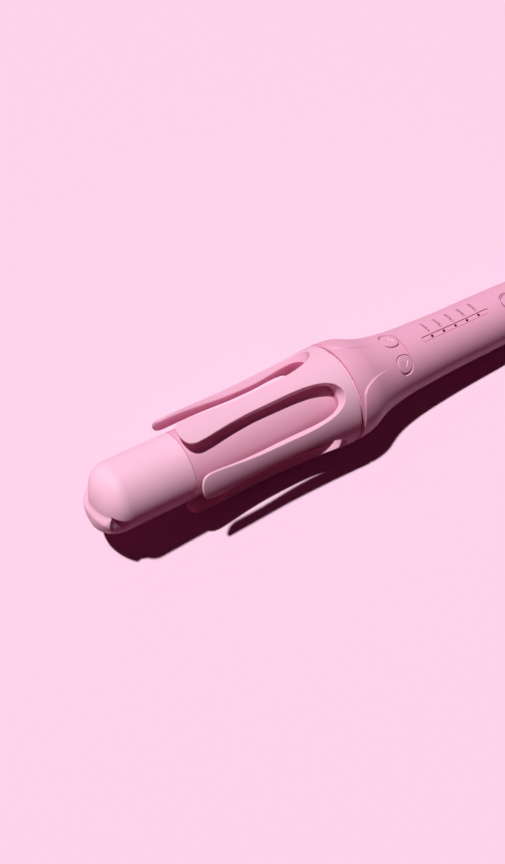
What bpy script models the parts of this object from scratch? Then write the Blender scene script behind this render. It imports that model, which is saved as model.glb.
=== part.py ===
"""Automatic hair curler: a fixed, heated, two-petal barrel inside a rotating cage of five claws.

Lengths are in metres and angles in degrees. +X runs from the rear of the handle to the cool tip, +Z is
up, on the side of the buttons. The origin is at the middle of the length, under the collar's lowest line.
The stations named ..._X are measured along the tool's axis from the handle's rear face, and an angle
around the axis is measured from +Z towards +Y.
"""

import math

import bmesh
import bpy
from mathutils import Matrix, Vector

# Gaps and finish of the meshes
SEAT_GAP = 0.0003
RUNNING_GAP = 0.0001
CUT_OVERRUN = 0.002
MERGE_DISTANCE = 0.000002
SHARP_ANGLE = 35.0
ROUND_STEPS = 40
SMALL_STEPS = 16
HALF_SHARE = 0.5

# Handle tube: a straight grip that flares into the neck
HANDLE_REAR_X = 0.0100
HANDLE_FRONT_X = 0.1938
NECK_LENGTH = 0.0598
HANDLE_WALL = 0.0024
FRONT_RADIUS = 0.0295
GRIP_FRONT_RADIUS = 0.0189
GRIP_REAR_RADIUS = 0.0168
FRONT_LIP = 0.0006
NECK_SHARES = (
    (0.000, 1.000), (0.064, 0.990), (0.147, 0.939), (0.231, 0.821), (0.314, 0.632), (0.398, 0.462),
    (0.482, 0.330), (0.582, 0.222), (0.699, 0.127), (0.833, 0.052), (1.000, 0.000),
)
GRIP_SHARES = ((0.226, 0.548), (0.387, 0.452), (0.548, 0.310), (0.710, 0.143), (1.000, 0.000))
SEAT_RADIUS = 0.0271
SEAT_LENGTH = 0.0062
SHOULDER_RADIUS = 0.0257

# Sunk tongue of the neck, bounded by two creases that run out on the grip, and the sunk rim before it
TONGUE_STEP = 0.0008
TONGUE_RIM = 0.0009
TONGUE_RISE = 0.0004
TONGUE_FADE_SHARES = ((0.021, 1.0), (0.064, 1.0), (0.147, 1.0), (0.231, 0.85), (0.314, 0.5), (0.398, 0.18))
TONGUE_ANGLES = ((0.021, 54.0), (0.064, 33.0), (0.147, 24.5), (0.231, 21.5), (0.314, 20.3), (0.398, 20.0))
TONGUE_SIDE_ANGLE = 1.8

# Claw cage: collar, front wall and five claws in one moulding
NECK_GAP = 0.0022
CAGE_LENGTH = 0.1000
COLLAR_RADIUS = 0.0295
CLAW_RADIUS = 0.0265
CLAW_WALL = 0.0023
CLAW_COUNT = 5
CLAW_PHASE = -14.0
CAGE_STEPS = 50
COLLAR_LIP = 0.0005
CAGE_SHARES = ((0.05, 0.90), (0.10, 0.75), (0.19, 0.567), (0.33, 0.333), (0.47, 0.117), (0.60, 0.0))
COLLAR_BORE_RADIUS = 0.0272
WALL_REAR = 0.0055
WALL_FRONT = 0.0080
WINDOW_ROOT = 0.0056
WINDOW_SHARES = (
    (0.004, 0.09), (0.012, 0.18), (0.029, 0.314), (0.057, 0.444), (0.10, 0.544), (0.16, 0.611),
    (0.24, 0.656), (0.36, 0.680), (0.56, 0.678), (0.70, 0.639), (0.80, 0.594), (0.88, 0.536),
    (0.93, 0.528), (0.965, 0.578), (0.985, 0.675), (0.996, 0.82),
)
WINDOW_CONE_LENGTH = 0.0034
WINDOW_FLOOR_RADIUS = 0.0208
WINDOW_END_SHARE = 0.96

# Heated barrel and cool tip: two overlapping petals
BARREL_RADIUS = 0.0190
PETAL_STEP = 0.0026
PETAL_EDGE_ANGLE = 69.0
PETAL_RISE_ANGLE = 55.0
PETAL_LIP = 0.00025
BARREL_WALL = 0.0012
BARREL_LENGTH = 0.0905
TIP_LENGTH = 0.0523
TIP_DOME = 0.0153
TIP_WALL = 0.0020
TIP_POST_RADIUS = 0.0032
PETAL_ANGLES = (6.0, 14.0, 24.0, 35.0, 46.0, 60.0, 80.0, 100.0, 120.0, 140.0, 160.0, 178.4)
DOME_ROWS = (13.0, 26.0, 39.0, 52.0, 64.0)
DOME_STEPS = 12
DOME_MIDDLE_ROWS = (75.0, 82.0)
CREST_WIDTH = 0.01
DOME_FADE_SHARE = 0.75

# Barrel base, bush and clip that carry the cage
BASE_BOSS_RADIUS = 0.0102
BASE_BOSS_REAR = 0.0040
BASE_PLUG_LENGTH = 0.0140
BUSH_RADIUS = 0.0121
CLIP_RADIUS = 0.0136
CLIP_THICKNESS = 0.0009
SPINDLE_RADIUS = 0.0035
SPINDLE_BORE_RADIUS = 0.0026
SPINDLE_FLANGE_RADIUS = 0.0064
SPINDLE_FLANGE = 0.0009

# Heater inside the barrel
HEATER_THICKNESS = 0.0040
HEATER_SIDE_GAP = 0.0016
HEATER_END_GAP = 0.0020
SPREADER_SETBACK = 0.0020
FUSE_LENGTH = 0.0120
THERMISTOR_LENGTH = 0.0080
SENSOR_RADIUS = 0.0018
INSULATOR_LENGTH = 0.0160
INSULATOR_WALL = 0.0025

# Gear train: pinion on the gear motor, idler, and ring gear on the cage
MODULE = 0.00075
RING_TEETH = 48
IDLER_TEETH = 16
PINION_TEETH = 12
PINION_OFFSET = 0.0090
PINION_ANGLE = 180.0
TOOTH_HEIGHT_SHARE = 0.80
TOOTH_DEPTH_SHARE = 1.05
TOOTH_FOOT_SHARE = 0.30
TOOTH_TOP_SHARE = 0.15
GEAR_REAR = 0.0009
GEAR_WIDTH = 0.0027
RING_BODY_RADIUS = 0.0206
RING_FLANGE_RADIUS = 0.0246
RING_FLANGE = 0.0013
RING_SCREW_OFFSET = 0.0226
RING_SCREW_COUNT = 3
IDLER_PIN_RADIUS = 0.0015
SHAFT_RADIUS = 0.00125

# Bulkhead at the front of the handle
BULKHEAD_RADIUS = 0.0268
BULKHEAD_RIM = 0.0016
BULKHEAD_PLATE = 0.0025
BULKHEAD_FRONT = 0.0009
BULKHEAD_OVERLAP = 0.0012
BULKHEAD_REAR = 0.0081

# Gear motor
MOTOR_RADIUS = 0.0060
GEARBOX_LENGTH = 0.0090
MOTOR_LENGTH = 0.0155
MOTOR_TAIL_RADIUS = 0.0021
MOTOR_TAIL = 0.0012
SHAFT_DEPTH = 0.0032

# Chassis that joins the bulkhead to the end cap
RAIL_INNER = 0.0092
RAIL_WIDTH = 0.0014
RAIL_TOP = 0.0082
FLOOR_LEVEL = -0.0070
FLOOR_THICKNESS = 0.0012
FLOOR_FRONT_X = 0.1560
BOSS_WIDTH = 0.0044
BOSS_HEIGHT = 0.0064
BOSS_LENGTH = 0.0080

# Boards and what is soldered on them
BOARD_THICKNESS = 0.0012
BOARD_WIDTH = 0.0196
BOARD_REAR_X = 0.0540
BOARD_FRONT_X = 0.1600
SWITCH_SIZE = 0.0052
SWITCH_HEIGHT = 0.0015
SWITCH_STEM_HALF = 0.0010
SWITCH_STEM = 0.0005
LED_SIZE = 0.0020
LED_HEIGHT = 0.0010
CHIP_LENGTH = 0.0100
CHIP_WIDTH = 0.0066
CHIP_HEIGHT = 0.0014
CHIP_X = 0.1180
POWER_BOARD_LENGTH = 0.0400
POWER_BOARD_REAR_X = 0.0200
POWER_BOARD_WIDTH = 0.0172
CAPACITOR_RADIUS = 0.0050
CAPACITOR_LENGTH = 0.0140
TRANSFORMER_LENGTH = 0.0120
TRANSFORMER_WIDTH = 0.0130
TRANSFORMER_HEIGHT = 0.0088

# Buttons
KEY_X = 0.1543
KEY_ANGLE = 24.5
KEY_HALF_LENGTH = 0.0051
KEY_HALF_WIDTH = 0.0054
KEY_STAND = 0.0003
KEY_FLANGE = 0.0008
KEY_FLANGE_THICKNESS = 0.0010
KEY_TRAVEL = 0.0006
KEY_STOP_GAP = 0.0001
PLUNGER_RADIUS = 0.0010
KEY_FLANGE_DROP = 0.0010
KEY_PANEL_HALF_LENGTH = 0.0057
KEY_PANEL_HALF_ANGLE = 43.5
KEY_PANEL_POWER = 2.8
KEY_POWER = 2.4
PANEL_DEPTH = 0.0005
POWER_X = 0.0667
POWER_RADIUS = 0.0050
POWER_PANEL_RADIUS = 0.0065
ROUND_POWER = 2.0
PANEL_STEPS = 10

# Row of indicator lights
LIGHT_COUNT = 5
LIGHT_FIRST_X = 0.1279
LIGHT_PITCH = 0.0091
LIGHT_HOLE_RADIUS = 0.00095
LIGHT_POST_RADIUS = 0.00075
LIGHT_BAR_HALF_WIDTH = 0.0018
LIGHT_BAR_MARGIN = 0.0079
LIGHT_BAR_DEPTH = 0.0004
GUIDE_HALF_WIDTH = 0.0015
GUIDE_THICKNESS = 0.0011
GUIDE_MARGIN = 0.0040

# End cap and the swivelling cord gland
CAP_REAR_RADIUS = 0.0140
CAP_ROUND_SHARES = ((0.07, 0.42), (0.25, 0.80), (0.60, 1.0))
CAP_LIP_LENGTH = 0.0050
CAP_WALL = 0.0034
CAP_BORE_RADIUS = 0.0054
CAP_SIDE_WALL = 0.0022
CAP_LIP_CLEARANCE = 0.0003
CAP_SCREW_OFFSET = 0.0101
SWIVEL_RADIUS = 0.0053
SWIVEL_BORE_RADIUS = 0.0032
SWIVEL_FLANGE_RADIUS = 0.0070
SWIVEL_FLANGE = 0.0012
SWIVEL_LENGTH = 0.0110
SWIVEL_CLIP_RADIUS = 0.0074
SWIVEL_CLIP = 0.0010
SWIVEL_GROOVE = 0.0005

# Screws
SCREW_HEAD_RADIUS = 0.0017
SCREW_HEAD = 0.0011
SCREW_SHANK_RADIUS = 0.0009
SCREW_HOLE_RADIUS = 0.0012
CAGE_SCREW_LENGTH = 0.0026
BODY_SCREW_LENGTH = 0.0075
TIP_SCREW_LENGTH = 0.0080
SINK_CLEARANCE = 0.0003

# Colours of the finished surfaces, as linear RGB
PINK = (0.91, 0.47, 0.62)
PINK_DEEP = (0.86, 0.42, 0.57)
DARK = (0.03, 0.02, 0.025)
STEEL = (0.55, 0.56, 0.58)
ALUMINIUM = (0.75, 0.76, 0.78)
NATURAL = (0.86, 0.84, 0.78)
BOARD_GREEN = (0.02, 0.16, 0.07)
BRASS = (0.70, 0.52, 0.22)
CERAMIC = (0.80, 0.78, 0.74)
SMOKE = (0.20, 0.05, 0.08)

# Stations worked out from the sizes above
COLLAR_X = HANDLE_FRONT_X + NECK_GAP
BARREL_X = COLLAR_X + WALL_FRONT + SEAT_GAP
TIP_X = BARREL_X + BARREL_LENGTH + SEAT_GAP
TOOTH_TOP_GAP = MODULE * (TOOTH_DEPTH_SHARE - TOOTH_HEIGHT_SHARE)
BOARD_LEVEL = RAIL_TOP + SEAT_GAP + BOARD_THICKNESS
PART_LEVEL = BOARD_LEVEL + SEAT_GAP
BULKHEAD_PLATE_FRONT_X = COLLAR_X - BULKHEAD_FRONT
BULKHEAD_PLATE_REAR_X = BULKHEAD_PLATE_FRONT_X - BULKHEAD_PLATE
GEARBOX_FRONT_X = BULKHEAD_PLATE_REAR_X - SEAT_GAP
CAP_LIP_FRONT_X = HANDLE_REAR_X + CAP_LIP_LENGTH
CHASSIS_REAR_X = CAP_LIP_FRONT_X + SEAT_GAP
CHASSIS_FRONT_X = BULKHEAD_PLATE_REAR_X - SEAT_GAP
CLAW_SECTOR = 360.0 / CLAW_COUNT


def clear_scene():
    for item in list(bpy.data.objects):
        bpy.data.objects.remove(item, do_unlink=True)


def finish(name, colour, roughness, metallic=0.0):
    """A plain Principled material for one sub-part."""
    made = bpy.data.materials.new(name)
    made.use_nodes = True
    shader = made.node_tree.nodes["Principled BSDF"]
    shader.inputs["Base Color"].default_value = (*colour, 1.0)
    shader.inputs["Roughness"].default_value = roughness
    shader.inputs["Metallic"].default_value = metallic
    made.diffuse_color = (*colour, 1.0)
    return made


def around(radius, angle):
    """The Y and Z of a point at this radius and angle, the angle measured from +Z towards +Y."""
    turn = math.radians(angle)
    return radius * math.sin(turn), radius * math.cos(turn)


def smooth_step(share):
    inside = min(max(share, 0.0), 1.0)
    return inside * inside * (3.0 - 2.0 * inside)


def read_shares(table, share):
    """Linear reading of a table of (share along, value)."""
    if share <= table[0][0]:
        return table[0][1]
    for (start, low), (end, high) in zip(table, table[1:]):
        if share <= end:
            return low + (high - low) * (share - start) / (end - start)
    return table[-1][1]


def place(name, shape, look, at=(0, 0, 0)):
    """Puts a bmesh into the tool's frame as an object whose origin is at a given point of that frame."""
    bmesh.ops.translate(shape, verts=shape.verts, vec=[-value for value in at])
    bmesh.ops.recalc_face_normals(shape, faces=shape.faces)
    mesh = bpy.data.meshes.new(name)
    shape.to_mesh(mesh)
    shape.free()
    mesh.shade_smooth()
    mesh.set_sharp_from_angle(angle=math.radians(SHARP_ANGLE))
    item = bpy.data.objects.new(name, mesh)
    bpy.context.scene.collection.objects.link(item)
    item.parent = bpy.data.objects["tool"]
    item.location = at
    if look:
        mesh.materials.append(look)
    return item


def place_copies(name, shape, look, spots):
    """One shape, made around its own origin, at several places: the copies share a mesh."""
    first = place(name + "_1", shape, look)
    first.location = spots[0]
    for number, spot in enumerate(spots[1:], 2):
        copy = bpy.data.objects.new(f"{name}_{number}", first.data)
        bpy.context.scene.collection.objects.link(copy)
        copy.parent = first.parent
        copy.location = spot


def guide(name, shape):
    """A cutter or a guide: it shapes another piece and isn't one itself."""
    item = place(name, shape, None)
    item.hide_render = True
    item.display_type = "WIRE"
    return item


def combine(item, other, operation):
    step = item.modifiers.new(other.name, "BOOLEAN")
    step.operation = operation
    step.object = other
    step.solver = "EXACT"


def cut(item, other):
    combine(item, other, "DIFFERENCE")


def join(item, other):
    combine(item, other, "UNION")


def turned(profile, steps=ROUND_STEPS):
    """A closed (x, radius) outline spun about the tool's axis."""
    shape = bmesh.new()
    corners = [shape.verts.new((x, 0, radius)) for x, radius in profile]
    for start, end in zip(corners, corners[1:] + corners[:1]):
        if start.co.z or end.co.z:
            shape.edges.new((start, end))
    bmesh.ops.spin(
        shape, geom=shape.verts[:] + shape.edges[:], axis=(1, 0, 0), cent=(0, 0, 0), angle=math.tau,
        steps=steps, use_merge=True,
    )
    bmesh.ops.remove_doubles(shape, verts=shape.verts, dist=MERGE_DISTANCE)
    return shape


def move(shape, offset):
    bmesh.ops.translate(shape, verts=shape.verts, vec=offset)
    return shape


def rod(start, end, radius, y=0, z=0, steps=SMALL_STEPS):
    """A round bar along the tool's axis."""
    return move(turned([(start, 0), (start, radius), (end, radius), (end, 0)], steps), (0, y, z))


def tube(start, end, inner, outer, steps=ROUND_STEPS):
    return turned([(start, inner), (start, outer), (end, outer), (end, inner)], steps)


def block(x_range, y_range, z_range):
    shape = bmesh.new()
    bmesh.ops.create_cube(shape, size=1)
    size = Vector([high - low for low, high in (x_range, y_range, z_range)])
    middle = Vector([(high + low) / 2 for low, high in (x_range, y_range, z_range)])
    bmesh.ops.scale(shape, verts=shape.verts, vec=size)
    return move(shape, middle)


def upright(x, y, bottom, top, half_length, half_width, power=ROUND_POWER, steps=SMALL_STEPS):
    """A bar that stands along +Z, whose outline is |x / half length|^power + |y / half width|^power = 1."""
    outline = []
    for step in range(steps):
        turn = math.tau * step / steps
        cosine = math.copysign(abs(math.cos(turn)) ** (2 / power), math.cos(turn))
        sine = math.copysign(abs(math.sin(turn)) ** (2 / power), math.sin(turn))
        outline.append((x + half_length * cosine, y + half_width * sine))
    return swept([[(*point, level) for point in outline] for level in (bottom, top)])


def tilted(shape, angle):
    """Turns a shape that was made on top of the tool to another angle around its axis."""
    turn = Matrix.Rotation(math.radians(-angle), 3, "X")
    bmesh.ops.rotate(shape, cent=(0, 0, 0), matrix=turn, verts=shape.verts)
    return shape


def merged(shapes):
    """Several separate solids as one shape."""
    whole = bmesh.new()
    for shape in shapes:
        mesh = bpy.data.meshes.new("loose")
        shape.to_mesh(mesh)
        shape.free()
        whole.from_mesh(mesh)
        bpy.data.meshes.remove(mesh)
    return whole


def extruded(outlines, start, end):
    """Closed (y, z) outlines, the first one outside and any other a hole, extruded along the axis."""
    shape = bmesh.new()
    for outline in outlines:
        corners = [shape.verts.new((start, y, z)) for y, z in outline]
        for first, second in zip(corners, corners[1:] + corners[:1]):
            shape.edges.new((first, second))
    bmesh.ops.triangle_fill(shape, use_beauty=True, use_dissolve=False, edges=shape.edges)
    face_set = bmesh.ops.extrude_face_region(shape, geom=shape.faces[:])
    lifted = [part for part in face_set["geom"] if isinstance(part, bmesh.types.BMVert)]
    bmesh.ops.translate(shape, verts=lifted, vec=(end - start, 0, 0))
    return shape


def swept(sections):
    """Closed sections with the same number of points, joined one to the next and capped at both ends."""
    shape = bmesh.new()
    rings = [[shape.verts.new(point) for point in section] for section in sections]
    for ring, following in zip(rings, rings[1:]):
        count = len(ring)
        for index in range(count):
            after = (index + 1) % count
            shape.faces.new((ring[index], ring[after], following[after], following[index]))
    shape.faces.new(rings[0])
    shape.faces.new(rings[-1])
    return shape


def handle_radius(x):
    """Outer radius of the grip and the neck at a station."""
    behind = (HANDLE_FRONT_X - x) / NECK_LENGTH
    if behind <= 1.0:
        return GRIP_FRONT_RADIUS + (FRONT_RADIUS - GRIP_FRONT_RADIUS) * read_shares(NECK_SHARES, behind)
    grip = HANDLE_FRONT_X - NECK_LENGTH - HANDLE_REAR_X
    along = (HANDLE_FRONT_X - NECK_LENGTH - x) / grip
    table = ((0.0, 1.0),) + GRIP_SHARES
    return GRIP_REAR_RADIUS + (GRIP_FRONT_RADIUS - GRIP_REAR_RADIUS) * read_shares(table, along)


def handle_sections():
    """The outside of the handle as rings of points, with the tongue and the rim below the neck's sides."""
    shares = [share for share, value in NECK_SHARES]
    stations = [HANDLE_FRONT_X - share * NECK_LENGTH for share in shares]
    grip = HANDLE_FRONT_X - NECK_LENGTH - HANDLE_REAR_X
    stations += [HANDLE_FRONT_X - NECK_LENGTH - share * grip for share, value in GRIP_SHARES]
    stations += [HANDLE_FRONT_X - TONGUE_RIM, HANDLE_FRONT_X - TONGUE_RIM - TONGUE_RISE]
    stations.sort(reverse=True)
    side_steps = (ROUND_STEPS // 2) - 4
    rings = []
    for x in stations:
        behind = (HANDLE_FRONT_X - x) / NECK_LENGTH
        edge = read_shares(TONGUE_ANGLES, behind)
        drop = TONGUE_STEP * read_shares(((0.0, 1.0),) + TONGUE_FADE_SHARES + ((0.482, 0.0),), behind)
        side_drop = drop if behind < TONGUE_ANGLES[0][0] - MERGE_DISTANCE else 0.0
        top_angles = [edge * step / 4 for step in range(-4, 5)]
        first = edge + TONGUE_SIDE_ANGLE
        turn = (360.0 - 2 * first) / (2 * side_steps - 1)
        side_angles = [first + turn * step for step in range(2 * side_steps)]
        radius = handle_radius(x)
        if x == HANDLE_FRONT_X:
            radius -= FRONT_LIP
        ring = [(x, *around(radius - drop, angle)) for angle in top_angles]
        ring += [(x, *around(radius - side_drop, angle)) for angle in side_angles]
        rings.append(ring)
    return rings


def make_handle_shell(look):
    """One-piece handle tube with the pockets for the buttons and the row of lights."""
    shell = place("handle_shell", swept(handle_sections()), look)
    bore_stations = [share for share, value in NECK_SHARES[3:]]
    bore = [(HANDLE_FRONT_X + CUT_OVERRUN, SEAT_RADIUS), (HANDLE_FRONT_X - SEAT_LENGTH, SEAT_RADIUS)]
    bore.append((HANDLE_FRONT_X - SEAT_LENGTH, SHOULDER_RADIUS))
    for share in bore_stations:
        x = HANDLE_FRONT_X - share * NECK_LENGTH
        bore.append((x, handle_radius(x) - HANDLE_WALL))
    grip = HANDLE_FRONT_X - NECK_LENGTH - HANDLE_REAR_X
    for share, value in GRIP_SHARES[1::3]:
        x = HANDLE_FRONT_X - NECK_LENGTH - share * grip
        bore.append((x, handle_radius(x) - HANDLE_WALL))
    end_radius = bore[-1][1]
    bore.append((HANDLE_REAR_X - CUT_OVERRUN, end_radius))
    bore = [(bore[0][0], 0)] + bore + [(bore[-1][0], 0)]
    cut(shell, guide("handle_bore", turned(bore)))
    key_panel = panel(KEY_X, KEY_PANEL_HALF_LENGTH, KEY_PANEL_HALF_ANGLE, KEY_PANEL_POWER)
    cut(shell, guide("key_panel", key_panel))
    power_angle = math.degrees(POWER_PANEL_RADIUS / handle_radius(POWER_X))
    cut(shell, guide("power_panel", panel(POWER_X, POWER_PANEL_RADIUS, power_angle, ROUND_POWER)))
    cut(shell, guide("light_panel", light_panel()))
    key = (KEY_X, KEY_HALF_LENGTH + SEAT_GAP, KEY_HALF_WIDTH + SEAT_GAP, KEY_POWER)
    round_key = (POWER_X, POWER_RADIUS + SEAT_GAP, POWER_RADIUS + SEAT_GAP, ROUND_POWER)
    holes = [tilted(key_bar(*key), KEY_ANGLE), tilted(key_bar(*key), -KEY_ANGLE), key_bar(*round_key)]
    cut(shell, guide("key_holes", merged(holes)))
    top = FRONT_RADIUS
    low = GRIP_REAR_RADIUS * HALF_SHARE
    hole = LIGHT_HOLE_RADIUS
    wells = [upright(x, 0, low, top, hole, hole, steps=SMALL_STEPS // 2) for x in light_stations()]
    cut(shell, guide("light_holes", merged(wells)))


def panel(x, half_length, half_angle, power):
    """A shallow pocket that follows the handle's skin, wider in the middle than at its two ends.

    Its half length at a share t of the half angle is the full one times (1 - t^power)^(1/power).
    """
    sections = []
    for step in range(PANEL_STEPS + 1):
        share = math.sin(math.radians(-88.0 + 176.0 * step / PANEL_STEPS))
        reach = half_length * (1.0 - abs(share) ** power) ** (1.0 / power)
        ends = (x - reach, x + reach)
        floor = [(end, *around(handle_radius(end) - PANEL_DEPTH, share * half_angle)) for end in ends]
        sky = [(end, *around(handle_radius(end) + CUT_OVERRUN, share * half_angle)) for end in ends]
        sections.append([floor[0], floor[1], sky[1], sky[0]])
    return swept(sections)


def light_stations():
    return [LIGHT_FIRST_X - LIGHT_PITCH * number for number in range(LIGHT_COUNT)]


def light_panel():
    """The narrow pocket with round ends that the row of lights lies in."""
    stations = light_stations()
    first = stations[0] + LIGHT_BAR_MARGIN
    last = stations[-1] - LIGHT_BAR_MARGIN
    sections = []
    for end, side in ((first, -1), (last, 1)):
        for turn in (10.0, 35.0, 60.0, 90.0):
            x = end + side * LIGHT_BAR_HALF_WIDTH * (1.0 - math.cos(math.radians(turn)))
            reach = LIGHT_BAR_HALF_WIDTH * math.sin(math.radians(turn))
            floor = handle_radius(x) - LIGHT_BAR_DEPTH
            sky = handle_radius(x) + CUT_OVERRUN
            sections.append([(x, -reach, floor), (x, reach, floor), (x, reach, sky), (x, -reach, sky)])
    sections.sort(key=lambda section: section[0][0])
    return swept(sections)


def key_bar(x, half_length, half_width, power):
    """The bar that cuts the hole that a button moves in."""
    return upright(x, 0, GRIP_REAR_RADIUS * HALF_SHARE, FRONT_RADIUS, half_length, half_width, power)


def key_flange_bottom(x):
    return handle_radius(x) - HANDLE_WALL - SEAT_GAP - KEY_FLANGE_DROP - KEY_FLANGE_THICKNESS


def plunger_reach(angle):
    """Where a button's plunger starts, so that its full travel ends just above the switch."""
    slope = math.radians(angle)
    floor = PART_LEVEL + SWITCH_HEIGHT + KEY_STOP_GAP + PLUNGER_RADIUS * math.sin(abs(slope))
    return floor / math.cos(slope) + KEY_TRAVEL


def make_button(name, x, angle, half_length, half_width, power, look):
    """A push button: a stem with the handle's curve on top, and a flange that stops it under the wall."""
    surface = handle_radius(x)
    stem_low = key_flange_bottom(x)
    stem = upright(x, 0, stem_low, FRONT_RADIUS, half_length, half_width, power)
    pivot = (x, *around(surface, angle))
    button = place(name, tilted(stem, angle), look, pivot)
    crown = []
    for end in (x - half_length - CUT_OVERRUN, x + half_length + CUT_OVERRUN):
        crown.append((end, handle_radius(end) - PANEL_DEPTH + KEY_STAND))
    crown_profile = [(crown[0][0], 0)] + crown + [(crown[1][0], 0)]
    combine(button, guide(name + "_crown", turned(crown_profile)), "INTERSECT")
    wide = upright(x, 0, stem_low, FRONT_RADIUS, half_length + KEY_FLANGE, half_width + KEY_FLANGE, power)
    flange = guide(name + "_flange", tilted(wide, angle))
    reach = half_length + KEY_FLANGE + CUT_OVERRUN
    under = []
    for end in (x - reach, x + reach):
        under.append((end, handle_radius(end) - HANDLE_WALL - SEAT_GAP))
    under_profile = [(under[0][0], 0)] + under + [(under[1][0], 0)]
    combine(flange, guide(name + "_under", turned(under_profile)), "INTERSECT")
    join(button, flange)
    levels = (plunger_reach(angle), surface - HANDLE_WALL)
    plunger = upright(x, 0, *levels, PLUNGER_RADIUS, PLUNGER_RADIUS, steps=SMALL_STEPS // 2)
    join(button, guide(name + "_plunger", tilted(plunger, angle)))


def cage_radius(along):
    """Outer radius of the collar and the claws at a distance in front of the collar's rear edge."""
    table = ((0.0, 1.0),) + CAGE_SHARES
    return CLAW_RADIUS + (COLLAR_RADIUS - CLAW_RADIUS) * read_shares(table, along / CAGE_LENGTH)


def window_cutter(centre):
    """The opening between two claws: an outline in (x, angle) cut through the wall.

    Its root is a steep cone that leaves the cage's front wall whole.
    """
    length = CAGE_LENGTH - WINDOW_ROOT
    outline = [(WINDOW_ROOT + share * length, value * CLAW_SECTOR / 2) for share, value in WINDOW_SHARES]
    outline.insert(0, (WINDOW_ROOT, outline[0][1] * HALF_SHARE))
    outline.append((CAGE_LENGTH + CUT_OVERRUN, WINDOW_END_SHARE * CLAW_SECTOR / 2))
    sections = []
    for along, half in outline:
        x = COLLAR_X + along
        cone = 1.0 - min((along - WINDOW_ROOT) / WINDOW_CONE_LENGTH, 1.0)
        low = WINDOW_FLOOR_RADIUS + (cage_radius(WINDOW_ROOT) - PETAL_LIP - WINDOW_FLOOR_RADIUS) * cone
        high = COLLAR_RADIUS + 2 * CUT_OVERRUN
        section = []
        for radius, order in ((low, (-1, -0.5, 0, 0.5, 1)), (high, (1, 0.5, 0, -0.5, -1))):
            section += [(x, *around(radius, centre + half * side)) for side in order]
        sections.append(section)
    return swept(sections)


def make_claw_cage(look):
    """Collar, front wall and claws: a turned body with a window cut between each two claws."""
    outside = [(COLLAR_LIP, COLLAR_RADIUS)]
    outside += [(share * CAGE_LENGTH, cage_radius(share * CAGE_LENGTH)) for share, value in CAGE_SHARES]
    outside.append((CAGE_LENGTH - COLLAR_LIP, CLAW_RADIUS))
    outside.append((CAGE_LENGTH, CLAW_RADIUS - COLLAR_LIP))
    inside = [(CAGE_LENGTH, CLAW_RADIUS - CLAW_WALL + COLLAR_LIP)]
    inside.append((CAGE_LENGTH - COLLAR_LIP, CLAW_RADIUS - CLAW_WALL))
    inside += [
        (share * CAGE_LENGTH, cage_radius(share * CAGE_LENGTH) - CLAW_WALL)
        for share, value in reversed(CAGE_SHARES[2:])
    ]
    root_radius = cage_radius(2 * WINDOW_ROOT) - CLAW_WALL
    inside.append((WALL_FRONT + 2 * CLAW_WALL, root_radius))
    inside.append((WALL_FRONT + COLLAR_LIP, root_radius - CLAW_WALL))
    inside.append((WALL_FRONT, root_radius - 2 * CLAW_WALL))
    inside.append((WALL_FRONT, BUSH_RADIUS + RUNNING_GAP))
    inside.append((WALL_REAR, BUSH_RADIUS + RUNNING_GAP))
    inside.append((WALL_REAR, COLLAR_BORE_RADIUS))
    inside.append((0, COLLAR_BORE_RADIUS))
    profile = [(0, COLLAR_RADIUS - COLLAR_LIP)] + outside + inside
    profile = [(COLLAR_X + along, radius) for along, radius in profile]
    cage = place("claw_cage", turned(profile, CAGE_STEPS), look, (COLLAR_X, 0, 0))
    for number in range(CLAW_COUNT):
        centre = CLAW_PHASE + CLAW_SECTOR * (number + HALF_SHARE)
        cut(cage, guide(f"window_{number + 1}", window_cutter(centre)))
    holes = []
    for angle in ring_screw_angles():
        y, z = around(RING_SCREW_OFFSET, angle)
        start = COLLAR_X + WALL_REAR - CUT_OVERRUN
        end = COLLAR_X + WALL_REAR + CAGE_SCREW_LENGTH - RING_FLANGE + SEAT_GAP
        holes.append(rod(start, end, SCREW_HOLE_RADIUS, y, z, SMALL_STEPS // 2))
    cut(cage, guide("cage_screw_holes", merged(holes)))


def ring_screw_angles():
    """The screws sit behind the roots of three claws, where the wall is thickest."""
    return [CLAW_PHASE + CLAW_SECTOR * number for number in (0, 2, 3)]


def petal_radius(angle, inset=0):
    """Radius of the barrel's outline, inset evenly from its skin.

    Each petal starts a step below the edge of the other and rises smoothly to the full radius.
    """
    lead = math.degrees(inset / BARREL_RADIUS)
    along = (angle + lead - PETAL_EDGE_ANGLE) % 180.0
    return BARREL_RADIUS - inset - PETAL_STEP * (1.0 - smooth_step(along / PETAL_RISE_ANGLE))


def petal_outline(inset=0):
    points = []
    lead = math.degrees(inset / BARREL_RADIUS)
    for petal in (0, 1):
        start = PETAL_EDGE_ANGLE - lead + 180.0 * petal
        points.append(around(BARREL_RADIUS - inset - PETAL_STEP, start))
        points += [around(petal_radius(start + along, inset), start + along) for along in PETAL_ANGLES]
        points.append(around(BARREL_RADIUS - inset - PETAL_LIP, start + 180.0))
    return points


def make_barrel_shell(look):
    outlines = [petal_outline(), petal_outline(BARREL_WALL)]
    place("barrel_shell", extruded(outlines, BARREL_X, BARREL_X + BARREL_LENGTH), look, (BARREL_X, 0, 0))


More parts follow.
